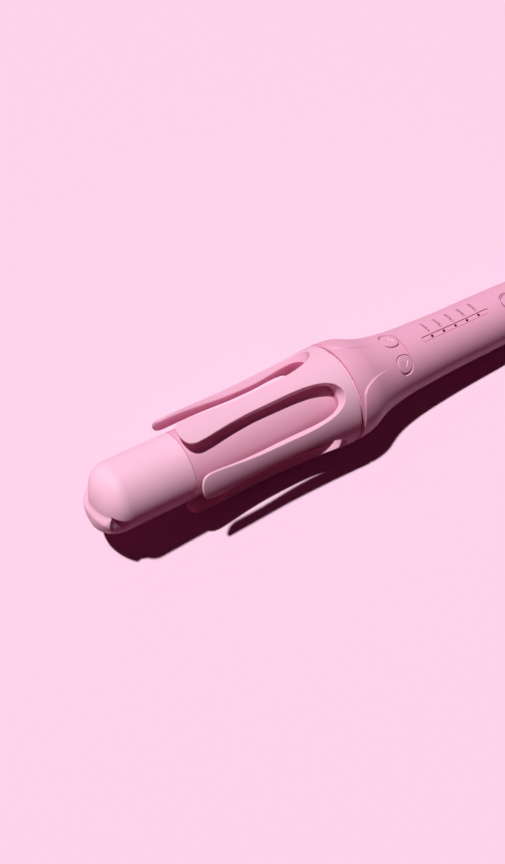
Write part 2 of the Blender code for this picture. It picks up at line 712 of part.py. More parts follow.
def tip_inset(row_angle, side):
    """How far the tip's skin lies under the full dome, at an angle from +Z and a share across, 1 to -1.

    One petal's step holds on the +Y side and fades out past the pole, and the other's does so turned
    half round.
    """
    fade = smooth_step((side / DOME_FADE_SHARE + 1.0) / 2.0)
    plus = (row_angle - PETAL_EDGE_ANGLE) / PETAL_RISE_ANGLE
    minus = (180.0 - row_angle - PETAL_EDGE_ANGLE) / PETAL_RISE_ANGLE
    deep = 0.0
    if plus >= 0.0:
        deep += fade * (1.0 - smooth_step(plus))
    if minus >= 0.0:
        deep += (1.0 - fade) * (1.0 - smooth_step(minus))
    return PETAL_STEP * deep


def tip_point(row, step):
    """A point of the tip's skin: a row at an angle a from +Z, and a step round the dome."""
    turn = math.pi * min(max(step, 0), DOME_STEPS) / DOME_STEPS
    side = math.cos(turn)
    scale = 1.0 - tip_inset(row, side) / BARREL_RADIUS
    high = math.sin(math.radians(row))
    x = TIP_X + TIP_LENGTH - TIP_DOME * (1.0 - scale * high * math.sin(turn))
    if step < 0 or step > DOME_STEPS:
        x = TIP_X
    return x, BARREL_RADIUS * scale * high * side, BARREL_RADIUS * scale * math.cos(math.radians(row))


def tool_length():
    """The tool ends where the dome stands highest, along the crest of a petal's edge."""
    crest = PETAL_EDGE_ANGLE - CREST_WIDTH
    return tip_point(crest, DOME_STEPS // 2)[0]


def make_cool_tip(look):
    """The barrel's outline closed by a dome, as rows of points at one height each.

    A row at an angle a from +Z runs along the +Y side, over the dome as
    (dome * sin a * sin b, radius * sin a * cos b) for b from 0 to 180, and back along the -Y side.
    """
    low = PETAL_EDGE_ANGLE - CREST_WIDTH
    high = PETAL_EDGE_ANGLE + CREST_WIDTH
    half = [0.0, *DOME_ROWS, low, high, *DOME_MIDDLE_ROWS]
    rows = half + [90.0] + [180.0 - row for row in reversed(half)]
    shape = bmesh.new()
    grid = []
    for row in rows:
        grid.append([shape.verts.new(tip_point(row, step)) for step in range(-1, DOME_STEPS + 2)])
    for line, following in zip(grid, grid[1:]):
        for index in range(len(line) - 1):
            shape.faces.new((line[index], line[index + 1], following[index + 1], following[index]))
    bmesh.ops.remove_doubles(shape, verts=shape.verts, dist=MERGE_DISTANCE * 2)
    rim = [item for item in shape.edges if item.is_boundary]
    bmesh.ops.holes_fill(shape, edges=rim, sides=0)
    tip = place("cool_tip", shape, look, (TIP_X, 0, 0))
    room = BARREL_RADIUS - PETAL_STEP - TIP_WALL
    dome_start = TIP_X + TIP_LENGTH - TIP_DOME
    cavity = [(TIP_X - CUT_OVERRUN, 0), (TIP_X - CUT_OVERRUN, room), (dome_start, room)]
    cavity += [(dome_start + TIP_DOME * 0.42, room * 0.72), (dome_start + TIP_DOME * 0.55, TIP_POST_RADIUS)]
    post_end = TIP_X + INSULATOR_LENGTH * HALF_SHARE + SEAT_GAP
    cavity += [(post_end, TIP_POST_RADIUS), (post_end, 0)]
    cut(tip, guide("tip_cavity", turned(cavity)))
    hole_end = post_end + TIP_SCREW_LENGTH - INSULATOR_WALL
    hole = rod(post_end - CUT_OVERRUN, hole_end, SCREW_HOLE_RADIUS)
    cut(tip, guide("tip_screw_hole", hole))


def make_tip_insulator(look):
    """A cup that plugs the barrel's front end and centres the cool tip."""
    radius = BARREL_RADIUS - PETAL_STEP - TIP_WALL - SEAT_GAP
    rear = TIP_X - INSULATOR_LENGTH * HALF_SHARE
    front = TIP_X + INSULATOR_LENGTH * HALF_SHARE
    floor = front - INSULATOR_WALL
    profile = [(rear, radius - INSULATOR_WALL), (rear, radius), (front, radius), (front, SCREW_HOLE_RADIUS)]
    profile += [(floor, SCREW_HOLE_RADIUS), (floor, radius - INSULATOR_WALL)]
    place("tip_insulator", turned(profile), look, (rear, 0, 0))


def screw(direction, length):
    """A pan-head screw along the axis, its head's face at the origin; at +1 its shank points to +X."""
    end = SCREW_HEAD + length
    profile = [(0, 0), (0, SCREW_HEAD_RADIUS), (SCREW_HEAD, SCREW_HEAD_RADIUS)]
    profile += [(SCREW_HEAD, SCREW_SHANK_RADIUS), (end, SCREW_SHANK_RADIUS), (end, 0)]
    return turned([(direction * along, radius) for along, radius in profile], SMALL_STEPS // 2)


def make_heater(metal, ceramic, dark):
    """Two half-round heat spreaders that clamp the heater strip, with the fuse and the sensor beside it."""
    start = BARREL_X + BASE_PLUG_LENGTH + SPREADER_SETBACK
    end = TIP_X - INSULATOR_LENGTH * HALF_SHARE - SPREADER_SETBACK
    flat = HEATER_THICKNESS / 2 + SEAT_GAP
    wide = 2 * BARREL_RADIUS
    for name, low, high in (("heat_spreader_upper", flat, wide), ("heat_spreader_lower", -wide, -flat)):
        bar = extruded([petal_outline(BARREL_WALL + SEAT_GAP)], start, end)
        spreader = place(name, bar, metal, (start, 0, 0))
        half = block((start - CUT_OVERRUN, end + CUT_OVERRUN), (-wide, wide), (low, high))
        combine(spreader, guide(name + "_half", half), "INTERSECT")
    middle = (start + end) / 2
    side = BARREL_RADIUS - PETAL_STEP - BARREL_WALL - SEAT_GAP - SENSOR_RADIUS
    half_width = side - SENSOR_RADIUS - HEATER_SIDE_GAP
    half_thickness = HEATER_THICKNESS / 2
    strip_x = (start + HEATER_END_GAP, end - HEATER_END_GAP)
    strip = block(strip_x, (-half_width, half_width), (-half_thickness, half_thickness))
    place("ptc_heater", strip, ceramic, (start, 0, 0))
    sensor = rod(middle, middle + THERMISTOR_LENGTH, SENSOR_RADIUS, side, 0)
    place("thermistor", sensor, dark, (middle, side, 0))
    fuse = rod(middle, middle + FUSE_LENGTH, SENSOR_RADIUS, -side, 0)
    place("thermal_fuse", fuse, metal, (middle, -side, 0))


def make_barrel_base(look):
    """Heat-proof base: a boss that the cage turns on, and a plug that holds the barrel."""
    plug = BARREL_RADIUS - PETAL_STEP - BARREL_WALL - SEAT_GAP
    bore = SPINDLE_RADIUS + SEAT_GAP
    rear = COLLAR_X + BASE_BOSS_REAR
    step = BARREL_X + SEAT_GAP
    front = BARREL_X + BASE_PLUG_LENGTH
    profile = [(rear, bore), (rear, BASE_BOSS_RADIUS), (step, BASE_BOSS_RADIUS), (step, plug)]
    profile += [(front, plug), (front, bore)]
    place("barrel_base", turned(profile), look, (rear, 0, 0))


def make_cage_bearing(bush_look, clip_look):
    bush_rear = COLLAR_X + WALL_REAR - SEAT_GAP
    bush_front = COLLAR_X + WALL_FRONT + SEAT_GAP
    bush = tube(bush_rear, bush_front, BASE_BOSS_RADIUS + SEAT_GAP, BUSH_RADIUS)
    place("cage_bush", bush, bush_look, (bush_rear, 0, 0))
    clip_front = COLLAR_X + WALL_REAR - SEAT_GAP * 2
    clip = tube(clip_front - CLIP_THICKNESS, clip_front, BASE_BOSS_RADIUS + SEAT_GAP, CLIP_RADIUS)
    place("retaining_clip", clip, clip_look, (clip_front, 0, 0))


def make_spindle(look):
    """Hollow steel spindle that carries the barrel on the bulkhead and leads the heater's wires through."""
    flange_front = BULKHEAD_PLATE_FRONT_X + SEAT_GAP + SPINDLE_FLANGE
    profile = [(BULKHEAD_PLATE_REAR_X, SPINDLE_BORE_RADIUS), (BULKHEAD_PLATE_REAR_X, SPINDLE_RADIUS)]
    flange_rear = flange_front - SPINDLE_FLANGE
    profile += [(flange_rear, SPINDLE_RADIUS), (flange_rear, SPINDLE_FLANGE_RADIUS)]
    profile += [(flange_front, SPINDLE_FLANGE_RADIUS)]
    front = BARREL_X + BASE_PLUG_LENGTH + SEAT_GAP
    profile += [(flange_front, SPINDLE_RADIUS), (front, SPINDLE_RADIUS), (front, SPINDLE_BORE_RADIUS)]
    place("spindle_tube", turned(profile, SMALL_STEPS + 4), look, (flange_front, 0, 0))


def idler_place():
    """The idler meshes with the ring gear and with the pinion, which fixes its angle round the axis."""
    ring = MODULE * (RING_TEETH - IDLER_TEETH) / 2
    pair = MODULE * (IDLER_TEETH + PINION_TEETH) / 2
    cosine = (PINION_OFFSET ** 2 + ring ** 2 - pair ** 2) / (2 * PINION_OFFSET * ring)
    return ring, PINION_ANGLE - math.degrees(math.acos(cosine))


def gear_outline(teeth, first, inner=False):
    """Straight-sided teeth; first is the angle of a tooth's middle, measured from +Z towards +Y."""
    pitch = MODULE * teeth / 2
    out = -1 if inner else 1
    top = pitch + out * MODULE * TOOTH_HEIGHT_SHARE
    foot = pitch - out * MODULE * TOOTH_DEPTH_SHARE
    step = 360.0 / teeth
    points = []
    for tooth in range(teeth):
        middle = first + tooth * step
        points.append(around(foot, middle - step * TOOTH_FOOT_SHARE))
        points.append(around(top, middle - step * TOOTH_TOP_SHARE))
        points.append(around(top, middle + step * TOOTH_TOP_SHARE))
        points.append(around(foot, middle + step * TOOTH_FOOT_SHARE))
    return points


def circle_outline(radius, steps):
    return [around(radius, 360.0 * step / steps) for step in range(steps)]


def make_gears(gear_look, steel_look):
    """Ring gear, idler and pinion in mesh, with the idler's pin and the motor's shaft."""
    rear = COLLAR_X + GEAR_REAR
    front = rear + GEAR_WIDTH
    ring_offset, idler_angle = idler_place()
    idler_y, idler_z = around(ring_offset, idler_angle)
    pinion_y, pinion_z = around(PINION_OFFSET, PINION_ANGLE)
    ring_step = 360.0 / RING_TEETH
    flange_front = COLLAR_X + WALL_REAR - SEAT_GAP
    flange_rear = flange_front - RING_FLANGE
    hub_bore = MODULE * (RING_TEETH / 2 - 1)
    flange_bore = MODULE * (RING_TEETH / 2 + TOOTH_DEPTH_SHARE) + SEAT_GAP
    profile = [(rear, hub_bore), (rear, RING_BODY_RADIUS), (flange_rear, RING_BODY_RADIUS)]
    profile += [(flange_rear, RING_FLANGE_RADIUS), (flange_front, RING_FLANGE_RADIUS)]
    profile += [(flange_front, flange_bore), (flange_rear, flange_bore), (flange_rear, hub_bore)]
    ring = place("ring_gear", turned(profile), gear_look, (rear, 0, 0))
    spaces = gear_outline(RING_TEETH, idler_angle + ring_step / 2, inner=True)
    cut(ring, guide("ring_gear_teeth", extruded([spaces], rear - CUT_OVERRUN, front + CUT_OVERRUN)))
    holes = []
    spots = []
    for angle in ring_screw_angles():
        y, z = around(RING_SCREW_OFFSET, angle)
        ends = (flange_rear - CUT_OVERRUN, flange_front + CUT_OVERRUN)
        holes.append(rod(*ends, SCREW_HOLE_RADIUS, y, z, SMALL_STEPS // 2))
        spots.append((flange_rear - SEAT_GAP - SCREW_HEAD, y, z))
    cut(ring, guide("ring_screw_holes", merged(holes)))
    place_copies("ring_gear_screw", screw(1, CAGE_SCREW_LENGTH + SEAT_GAP), steel_look, spots)
    pin_hole = circle_outline(IDLER_PIN_RADIUS + RUNNING_GAP, SMALL_STEPS)
    idler = extruded([gear_outline(IDLER_TEETH, idler_angle), pin_hole], rear, front)
    place("idler_gear", move(idler, (0, idler_y, idler_z)), gear_look, (rear, idler_y, idler_z))
    towards = math.degrees(math.atan2(pinion_y - idler_y, pinion_z - idler_z))
    idler_step = 360.0 / IDLER_TEETH
    late = (towards - idler_angle) % idler_step
    pinion_step = 360.0 / PINION_TEETH
    space = towards + 180.0 + late * IDLER_TEETH / PINION_TEETH
    shaft_hole = circle_outline(SHAFT_RADIUS + RUNNING_GAP, SMALL_STEPS)
    pinion = extruded([gear_outline(PINION_TEETH, space + pinion_step / 2), shaft_hole], rear, front)
    place("pinion", move(pinion, (0, pinion_y, pinion_z)), gear_look, (rear, pinion_y, pinion_z))
    shaft = rod(GEARBOX_FRONT_X - SHAFT_DEPTH, front, SHAFT_RADIUS, pinion_y, pinion_z)
    place("drive_shaft", shaft, steel_look, (rear, pinion_y, pinion_z))
    pin_rear = BULKHEAD_PLATE_REAR_X
    pin = rod(pin_rear, front, IDLER_PIN_RADIUS, idler_y, idler_z)
    place("idler_pin", pin, steel_look, (pin_rear, idler_y, idler_z))


def make_bulkhead(look, steel_look):
    """Front bulkhead: a plate in a rim that bridges the gap between handle and collar."""
    rim_rear = HANDLE_FRONT_X - SEAT_LENGTH + SEAT_GAP
    rim_front = COLLAR_X + BULKHEAD_OVERLAP
    rim_inside = BULKHEAD_RADIUS - BULKHEAD_RIM
    profile = [(rim_rear, rim_inside), (rim_rear, BULKHEAD_RADIUS), (rim_front, BULKHEAD_RADIUS)]
    profile += [(rim_front, rim_inside), (BULKHEAD_PLATE_FRONT_X, rim_inside)]
    bore = SPINDLE_RADIUS + SEAT_GAP
    profile += [(BULKHEAD_PLATE_FRONT_X, bore), (BULKHEAD_PLATE_REAR_X, bore)]
    profile += [(BULKHEAD_PLATE_REAR_X, rim_inside)]
    bulkhead = place("bulkhead", turned(profile), look, (rim_rear, 0, 0))
    low = BULKHEAD_PLATE_REAR_X - CUT_OVERRUN
    high = BULKHEAD_PLATE_FRONT_X + CUT_OVERRUN
    ring_offset, idler_angle = idler_place()
    idler_y, idler_z = around(ring_offset, idler_angle)
    pinion_y, pinion_z = around(PINION_OFFSET, PINION_ANGLE)
    holes = [rod(low, high, IDLER_PIN_RADIUS + SEAT_GAP, idler_y, idler_z)]
    holes.append(rod(low, high, SHAFT_RADIUS + 2 * SEAT_GAP, pinion_y, pinion_z))
    sinks = []
    spots = []
    sink_x = BULKHEAD_PLATE_FRONT_X - SCREW_HEAD - SINK_CLEARANCE
    for side in (-1, 1):
        y = side * (RAIL_INNER + RAIL_WIDTH)
        holes.append(rod(low, high, SCREW_HOLE_RADIUS, y, 0, SMALL_STEPS // 2))
        sinks.append(rod(sink_x, high, SCREW_HEAD_RADIUS + SINK_CLEARANCE, y, 0, SMALL_STEPS // 2))
        spots.append((sink_x + SINK_CLEARANCE + SCREW_HEAD, y, 0))
    cut(bulkhead, guide("bulkhead_holes", merged(holes)))
    cut(bulkhead, guide("bulkhead_sinks", merged(sinks)))
    place_copies("bulkhead_screw", screw(-1, BODY_SCREW_LENGTH), steel_look, spots)


def make_motor(can_look, gearbox_look):
    y, z = around(PINION_OFFSET, PINION_ANGLE)
    box_rear = GEARBOX_FRONT_X - GEARBOX_LENGTH
    depth = SHAFT_DEPTH + SEAT_GAP
    profile = [(box_rear, 0), (box_rear, MOTOR_RADIUS), (GEARBOX_FRONT_X, MOTOR_RADIUS)]
    bore = SHAFT_RADIUS + RUNNING_GAP
    profile += [(GEARBOX_FRONT_X, bore), (GEARBOX_FRONT_X - depth, bore), (GEARBOX_FRONT_X - depth, 0)]
    place("gearbox", move(turned(profile, SMALL_STEPS), (0, y, z)), gearbox_look, (box_rear, y, z))
    front = box_rear - SEAT_GAP
    rear = front - MOTOR_LENGTH
    tail = rear - MOTOR_TAIL
    can = [(tail, 0), (tail, MOTOR_TAIL_RADIUS), (rear, MOTOR_TAIL_RADIUS), (rear, MOTOR_RADIUS)]
    can += [(front, MOTOR_RADIUS), (front, 0)]
    place("motor", move(turned(can, SMALL_STEPS), (0, y, z)), can_look, (rear, y, z))


def make_chassis(look):
    """Two rails, a floor between them, and a screw boss at each end of each rail."""
    outer = RAIL_INNER + RAIL_WIDTH
    left = block((CHASSIS_REAR_X, CHASSIS_FRONT_X), (-outer, -RAIL_INNER), (FLOOR_LEVEL, RAIL_TOP))
    chassis = place("chassis", left, look, (CHASSIS_REAR_X, 0, 0))
    right = block((CHASSIS_REAR_X, CHASSIS_FRONT_X), (RAIL_INNER, outer), (FLOOR_LEVEL, RAIL_TOP))
    floor_y = RAIL_INNER + RAIL_WIDTH * HALF_SHARE
    floor_z = (FLOOR_LEVEL + SEAT_GAP, FLOOR_LEVEL + SEAT_GAP + FLOOR_THICKNESS)
    floor = block((CHASSIS_REAR_X + SEAT_GAP, FLOOR_FRONT_X), (-floor_y, floor_y), floor_z)
    join(chassis, guide("chassis_floor", floor))
    join(chassis, guide("chassis_rail", right))
    bosses = []
    holes = []
    for side in (-1, 1):
        rear_hole = side * CAP_SCREW_OFFSET
        front_hole = side * outer
        for start, end, hole in (
            (CHASSIS_REAR_X + SEAT_GAP, CHASSIS_REAR_X + BOSS_LENGTH, rear_hole),
            (CHASSIS_FRONT_X - BOSS_LENGTH, CHASSIS_FRONT_X - SEAT_GAP, front_hole),
        ):
            edges = (hole - BOSS_WIDTH / 2, hole + BOSS_WIDTH / 2)
            bosses.append(block((start, end), edges, (-BOSS_HEIGHT / 2, BOSS_HEIGHT / 2)))
            low = start - CUT_OVERRUN
            high = end + CUT_OVERRUN
            holes.append(rod(low, high, SCREW_HOLE_RADIUS, hole, 0, SMALL_STEPS // 2))
    join(chassis, guide("chassis_bosses", merged(bosses)))
    cut(chassis, guide("chassis_holes", merged(holes)))


def make_boards(board_look, dark, metal, sleeve):
    """Control board with its switches, lights and controller, and the power board on the chassis floor."""
    half = BOARD_WIDTH / 2
    low = RAIL_TOP + SEAT_GAP
    board = block((BOARD_REAR_X, BOARD_FRONT_X), (-half, half), (low, BOARD_LEVEL))
    place("control_board", board, board_look, (BOARD_REAR_X, 0, low))
    slope = math.radians(KEY_ANGLE)
    spread = plunger_reach(KEY_ANGLE) * math.sin(slope)
    spots = [(KEY_X, -spread, PART_LEVEL), (KEY_X, spread, PART_LEVEL), (POWER_X, 0, PART_LEVEL)]
    place_copies("tact_switch", tact_switch(), dark, spots)
    reach = LED_SIZE / 2
    led = block((-reach, reach), (-reach, reach), (0, LED_HEIGHT))
    place_copies("indicator_led", led, sleeve, [(x, 0, PART_LEVEL) for x in light_stations()])
    chip_y = (-half + RAIL_WIDTH, -half + RAIL_WIDTH + CHIP_WIDTH)
    chip_z = (PART_LEVEL, PART_LEVEL + CHIP_HEIGHT)
    chip = block((CHIP_X, CHIP_X + CHIP_LENGTH), chip_y, chip_z)
    place("controller_chip", chip, dark, (CHIP_X, 0, PART_LEVEL))
    floor_top = FLOOR_LEVEL + SEAT_GAP + FLOOR_THICKNESS
    power_low = floor_top + SEAT_GAP
    power_top = power_low + BOARD_THICKNESS
    start = POWER_BOARD_REAR_X
    power_half = POWER_BOARD_WIDTH / 2
    edges = (-power_half, power_half)
    rear = start + BOSS_LENGTH
    power = block((rear, rear + POWER_BOARD_LENGTH), edges, (power_low, power_top))
    place("power_board", power, board_look, (start, 0, power_low))
    core_x = start + BOSS_LENGTH + SPREADER_SETBACK
    core_z = (power_top + SEAT_GAP, power_top + SEAT_GAP + TRANSFORMER_HEIGHT)
    core_y = (-TRANSFORMER_WIDTH / 2, TRANSFORMER_WIDTH / 2)
    core = block((core_x, core_x + TRANSFORMER_LENGTH), core_y, core_z)
    place("transformer", core, dark, (core_x, 0, core_z[0]))
    can_x = core_x + TRANSFORMER_LENGTH + SPREADER_SETBACK
    can_z = power_top + SEAT_GAP + CAPACITOR_RADIUS
    can = rod(can_x, can_x + CAPACITOR_LENGTH, CAPACITOR_RADIUS, 0, can_z)
    place("smoothing_capacitor", can, metal, (can_x, 0, can_z))


def tact_switch():
    """A square body with a square stem, standing on its own origin."""
    half = SWITCH_SIZE / 2
    shoulder = SWITCH_HEIGHT - SWITCH_STEM
    rings = []
    stem = SWITCH_STEM_HALF
    for level, reach in ((0, half), (shoulder, half), (shoulder, stem), (SWITCH_HEIGHT, stem)):
        rings.append([(sx * reach, sy * reach, level) for sx, sy in ((-1, -1), (1, -1), (1, 1), (-1, 1))])
    return swept(rings)


def make_light_guide(look):
    """A clear strip under the skin with a post that fills each light hole."""
    stations = light_stations()
    start = stations[-1] - GUIDE_MARGIN
    end = stations[0] + GUIDE_MARGIN
    ceiling = handle_radius(start) - HANDLE_WALL - SEAT_GAP
    ceiling -= ceiling - math.sqrt(ceiling ** 2 - GUIDE_HALF_WIDTH ** 2)
    strip = block((start, end), (-GUIDE_HALF_WIDTH, GUIDE_HALF_WIDTH), (ceiling - GUIDE_THICKNESS, ceiling))
    light_guide = place("light_guide", strip, look, (start, 0, ceiling))
    bottom = PART_LEVEL + LED_HEIGHT + SEAT_GAP
    posts = []
    post = LIGHT_POST_RADIUS
    for x in stations:
        top = handle_radius(x) - LIGHT_BAR_DEPTH
        posts.append(upright(x, 0, bottom, top, post, post, steps=SMALL_STEPS // 2))
    join(light_guide, guide("guide_posts", merged(posts)))


def make_end_cap(look, steel_look):
    """Rounded rear cap with a spigot inside the tube, a bore for the gland and two sunk screws."""
    outer_x = HANDLE_REAR_X - SEAT_GAP
    plug_radius = GRIP_REAR_RADIUS - HANDLE_WALL - CAP_LIP_CLEARANCE
    profile = [(0, CAP_REAR_RADIUS)]
    for share, value in CAP_ROUND_SHARES:
        profile.append((share * outer_x, CAP_REAR_RADIUS + (GRIP_REAR_RADIUS - CAP_REAR_RADIUS) * value))
    profile += [(outer_x, GRIP_REAR_RADIUS), (outer_x, plug_radius), (CAP_LIP_FRONT_X, plug_radius)]
    profile += [(CAP_LIP_FRONT_X, plug_radius - CAP_SIDE_WALL), (CAP_WALL, plug_radius - CAP_SIDE_WALL)]
    seat = SWIVEL_FLANGE_RADIUS + SEAT_GAP
    sink = 2 * SEAT_GAP + SWIVEL_FLANGE
    profile += [(CAP_WALL, CAP_BORE_RADIUS), (sink, CAP_BORE_RADIUS), (sink, seat), (0, seat)]
    cap = place("end_cap", turned(profile), look)
    holes = []
    sinks = []
    spots = []
    for side in (-1, 1):
        y = side * CAP_SCREW_OFFSET
        holes.append(rod(-CUT_OVERRUN, CAP_WALL + CUT_OVERRUN, SCREW_HOLE_RADIUS, y, 0, SMALL_STEPS // 2))
        head_space = SCREW_HEAD + 2 * SINK_CLEARANCE
        sink_radius = SCREW_HEAD_RADIUS + SINK_CLEARANCE
        sinks.append(rod(-CUT_OVERRUN, head_space, sink_radius, y, 0, SMALL_STEPS // 2))
        spots.append((SINK_CLEARANCE, y, 0))
    cut(cap, guide("cap_holes", merged(holes)))
    cut(cap, guide("cap_sinks", merged(sinks)))
    length = CHASSIS_REAR_X + BOSS_LENGTH * HALF_SHARE
    place_copies("end_cap_screw", screw(1, length), steel_look, spots)


def make_cord_swivel(look, steel_look):
    """Hollow gland that turns in the end cap, held by a clip in a groove inside."""
    rear = SEAT_GAP
    flange = rear + SWIVEL_FLANGE
    front = rear + SWIVEL_LENGTH
    groove_rear = CAP_WALL + SEAT_GAP
    groove_front = groove_rear + SWIVEL_CLIP + 2 * SEAT_GAP
    neck = SWIVEL_RADIUS - SWIVEL_GROOVE
    profile = [(rear, SWIVEL_BORE_RADIUS), (rear, SWIVEL_FLANGE_RADIUS), (flange, SWIVEL_FLANGE_RADIUS)]
    profile += [(flange, SWIVEL_RADIUS), (groove_rear, SWIVEL_RADIUS), (groove_rear, neck)]
    profile += [(groove_front, neck), (groove_front, SWIVEL_RADIUS), (front, SWIVEL_RADIUS)]
    profile += [(front, SWIVEL_BORE_RADIUS)]
    place("cord_gland", turned(profile, SMALL_STEPS + 8), look, (rear, 0, 0))
    clip_rear = groove_rear + SEAT_GAP
    clip = tube(clip_rear, clip_rear + SWIVEL_CLIP, neck + SEAT_GAP, SWIVEL_CLIP_RADIUS, SMALL_STEPS + 8)
    place("gland_clip", clip, steel_look, (clip_rear, 0, 0))


def make_tip_screw(look):
    rear_face = TIP_X + INSULATOR_LENGTH * HALF_SHARE - INSULATOR_WALL
    head_x = rear_face - SEAT_GAP - SCREW_HEAD
    place("tip_screw", move(screw(1, TIP_SCREW_LENGTH), (head_x, 0, 0)), look, (head_x, 0, 0))


def build():
    clear_scene()
    tool = bpy.data.objects.new("tool", None)
    bpy.context.scene.collection.objects.link(tool)
    tool.location = (-tool_length() / 2, 0, COLLAR_RADIUS)
    shell_pink = finish("moulded_shell_pink", PINK, 0.42)
    button_pink = finish("moulded_button_pink", PINK, 0.45)
    barrel_pink = finish("coated_barrel_pink", PINK_DEEP, 0.38)
    gland_pink = finish("moulded_gland_pink", PINK_DEEP, 0.5)
    nylon = finish("natural_nylon", NATURAL, 0.5)
    insulation = finish("heat_proof_resin", CERAMIC, 0.6)
    steel = finish("zinc_plated_steel", STEEL, 0.35, 1.0)
    aluminium = finish("milled_aluminium", ALUMINIUM, 0.4, 1.0)
    dark = finish("black_moulding", DARK, 0.5)
    brass = finish("brass_gearbox", BRASS, 0.35, 1.0)
    board = finish("board_laminate", BOARD_GREEN, 0.5)
    smoke = finish("smoked_polycarbonate", SMOKE, 0.15)
    make_handle_shell(shell_pink)
    for name, angle in (("turn_left_button", -KEY_ANGLE), ("turn_right_button", KEY_ANGLE)):
        make_button(name, KEY_X, angle, KEY_HALF_LENGTH, KEY_HALF_WIDTH, KEY_POWER, button_pink)
    make_button("power_button", POWER_X, 0.0, POWER_RADIUS, POWER_RADIUS, ROUND_POWER, button_pink)
    make_light_guide(smoke)
    make_claw_cage(shell_pink)
    make_barrel_shell(barrel_pink)
    make_cool_tip(shell_pink)
    make_tip_insulator(insulation)
    make_tip_screw(steel)
    make_heater(aluminium, insulation, dark)
    make_barrel_base(insulation)
    make_cage_bearing(nylon, steel)
    make_spindle(steel)
    make_gears(nylon, steel)
    make_bulkhead(shell_pink, steel)
    make_motor(steel, brass)
    make_chassis(nylon)
    make_boards(board, dark, aluminium, insulation)
    make_end_cap(shell_pink, steel)
    make_cord_swivel(gland_pink, steel)


build()
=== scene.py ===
"""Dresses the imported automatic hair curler: moulded skins, fine edges, keys, print, and the lit floor.

Lengths are in metres. +X runs from the end cap to the cool tip and +Z is up, on the side of the keys. An
angle around the tool's axis is measured from +Z towards +Y.
"""

import math

import bmesh
import bpy
import numpy as np
from bpy.props import FloatProperty, FloatVectorProperty, PointerProperty
from mathutils import Euler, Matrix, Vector


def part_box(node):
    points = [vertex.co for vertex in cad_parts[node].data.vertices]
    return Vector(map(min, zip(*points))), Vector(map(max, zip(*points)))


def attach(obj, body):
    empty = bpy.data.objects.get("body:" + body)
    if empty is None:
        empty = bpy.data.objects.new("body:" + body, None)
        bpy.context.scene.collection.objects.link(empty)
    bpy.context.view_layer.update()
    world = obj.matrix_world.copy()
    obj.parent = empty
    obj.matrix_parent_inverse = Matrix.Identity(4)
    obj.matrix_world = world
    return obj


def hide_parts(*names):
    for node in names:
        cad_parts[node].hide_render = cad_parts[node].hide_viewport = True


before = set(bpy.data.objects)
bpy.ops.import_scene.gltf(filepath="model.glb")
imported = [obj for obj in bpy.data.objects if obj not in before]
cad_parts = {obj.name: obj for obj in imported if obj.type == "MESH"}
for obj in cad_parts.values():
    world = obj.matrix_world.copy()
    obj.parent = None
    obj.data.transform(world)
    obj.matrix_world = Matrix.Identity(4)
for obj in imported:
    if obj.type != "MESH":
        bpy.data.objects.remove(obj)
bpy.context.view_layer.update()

bl_info = {
    "name": "Hair curler",
    "version": (1, 0, 0),
    "blender": (4, 5, 0),
    "location": "View3D > Sidebar > Hair curler",
    "description": "Dresses a packed automatic hair curler and lights it on a floor",
    "category": "Add Mesh",
}

MILLI = 0.001

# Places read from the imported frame
HANDLE_REAR_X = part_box("handle_shell")[0].x
HANDLE_FRONT_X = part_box("handle_shell")[1].x
COLLAR_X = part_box("claw_cage")[0].x
CAGE_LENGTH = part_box("claw_cage")[1].x - COLLAR_X
COLLAR_RADIUS = (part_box("claw_cage")[1].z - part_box("claw_cage")[0].z) / 2
AXIS_Z = COLLAR_RADIUS
BARREL_REAR_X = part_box("barrel_shell")[0].x
BARREL_FRONT_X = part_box("barrel_shell")[1].x
TIP_REAR_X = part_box("cool_tip")[0].x
CAP_REAR_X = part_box("end_cap")[0].x
GLAND_REAR_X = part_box("cord_gland")[0].x
GLAND_FRONT_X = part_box("cord_gland")[1].x

# Mesh work
MERGE_DISTANCE = 0.000002
SHARP_ANGLE = 38.0

# Run of a steep wall, and of one side of a narrow seam
WALL_RUN = 0.00020
SEAM_RUN = 0.00025

# Handle
FRONT_RADIUS = 0.0295
GRIP_FRONT_RADIUS = 0.0189
GRIP_REAR_RADIUS = 0.0168
NECK_LENGTH = 0.0598
HANDLE_WALL = 0.0024
SEAT_RADIUS = 0.0271
SEAT_LENGTH = 0.0062
SHOULDER_RADIUS = 0.0257
HANDLE_CHAMFER = 0.0002
BORE_FRONT_SHARE = 0.231
BORE_ROWS = 16
ARC_RADIUS = 0.0195

# Profile of the neck and of the grip: share of its length from the front, share of its fall in radius left
NECK_SHARES = (
    (0.000, 1.000), (0.064, 0.990), (0.147, 0.939), (0.231, 0.821), (0.314, 0.632), (0.398, 0.462),
    (0.482, 0.330), (0.582, 0.222), (0.699, 0.127), (0.833, 0.052),
)
GRIP_SHARES = ((0.0, 1.0), (0.226, 0.548), (0.387, 0.452), (0.548, 0.310), (0.710, 0.143), (1.0, 0.0))

# Grid of the handle: its rows lie a fine step apart across pockets, holes and rims, and wider between them
FINE_STEP = 0.00024
FINE_MARGIN = 0.0006
REAR_STEP = 0.0030
BAR_STEP = 0.0020
BETWEEN_STEP = 0.0015
NECK_STEP = 0.0010
FLARE_REACH = 0.0080
FLARE_STEP = 0.0004
RIM_REACH = 0.0010
RIM_STEP = 0.00015

# Columns of that grid: half the angle of the fine and the middling stretch, and the steps in degrees
FINE_HALF_ANGLE = 46.0
MIDDLING_HALF_ANGLE = 66.0
FINE_ANGLE_SHARE = 0.95
MIDDLING_ANGLE_STEP = 1.6
PLAIN_ANGLE_STEP = 3.0

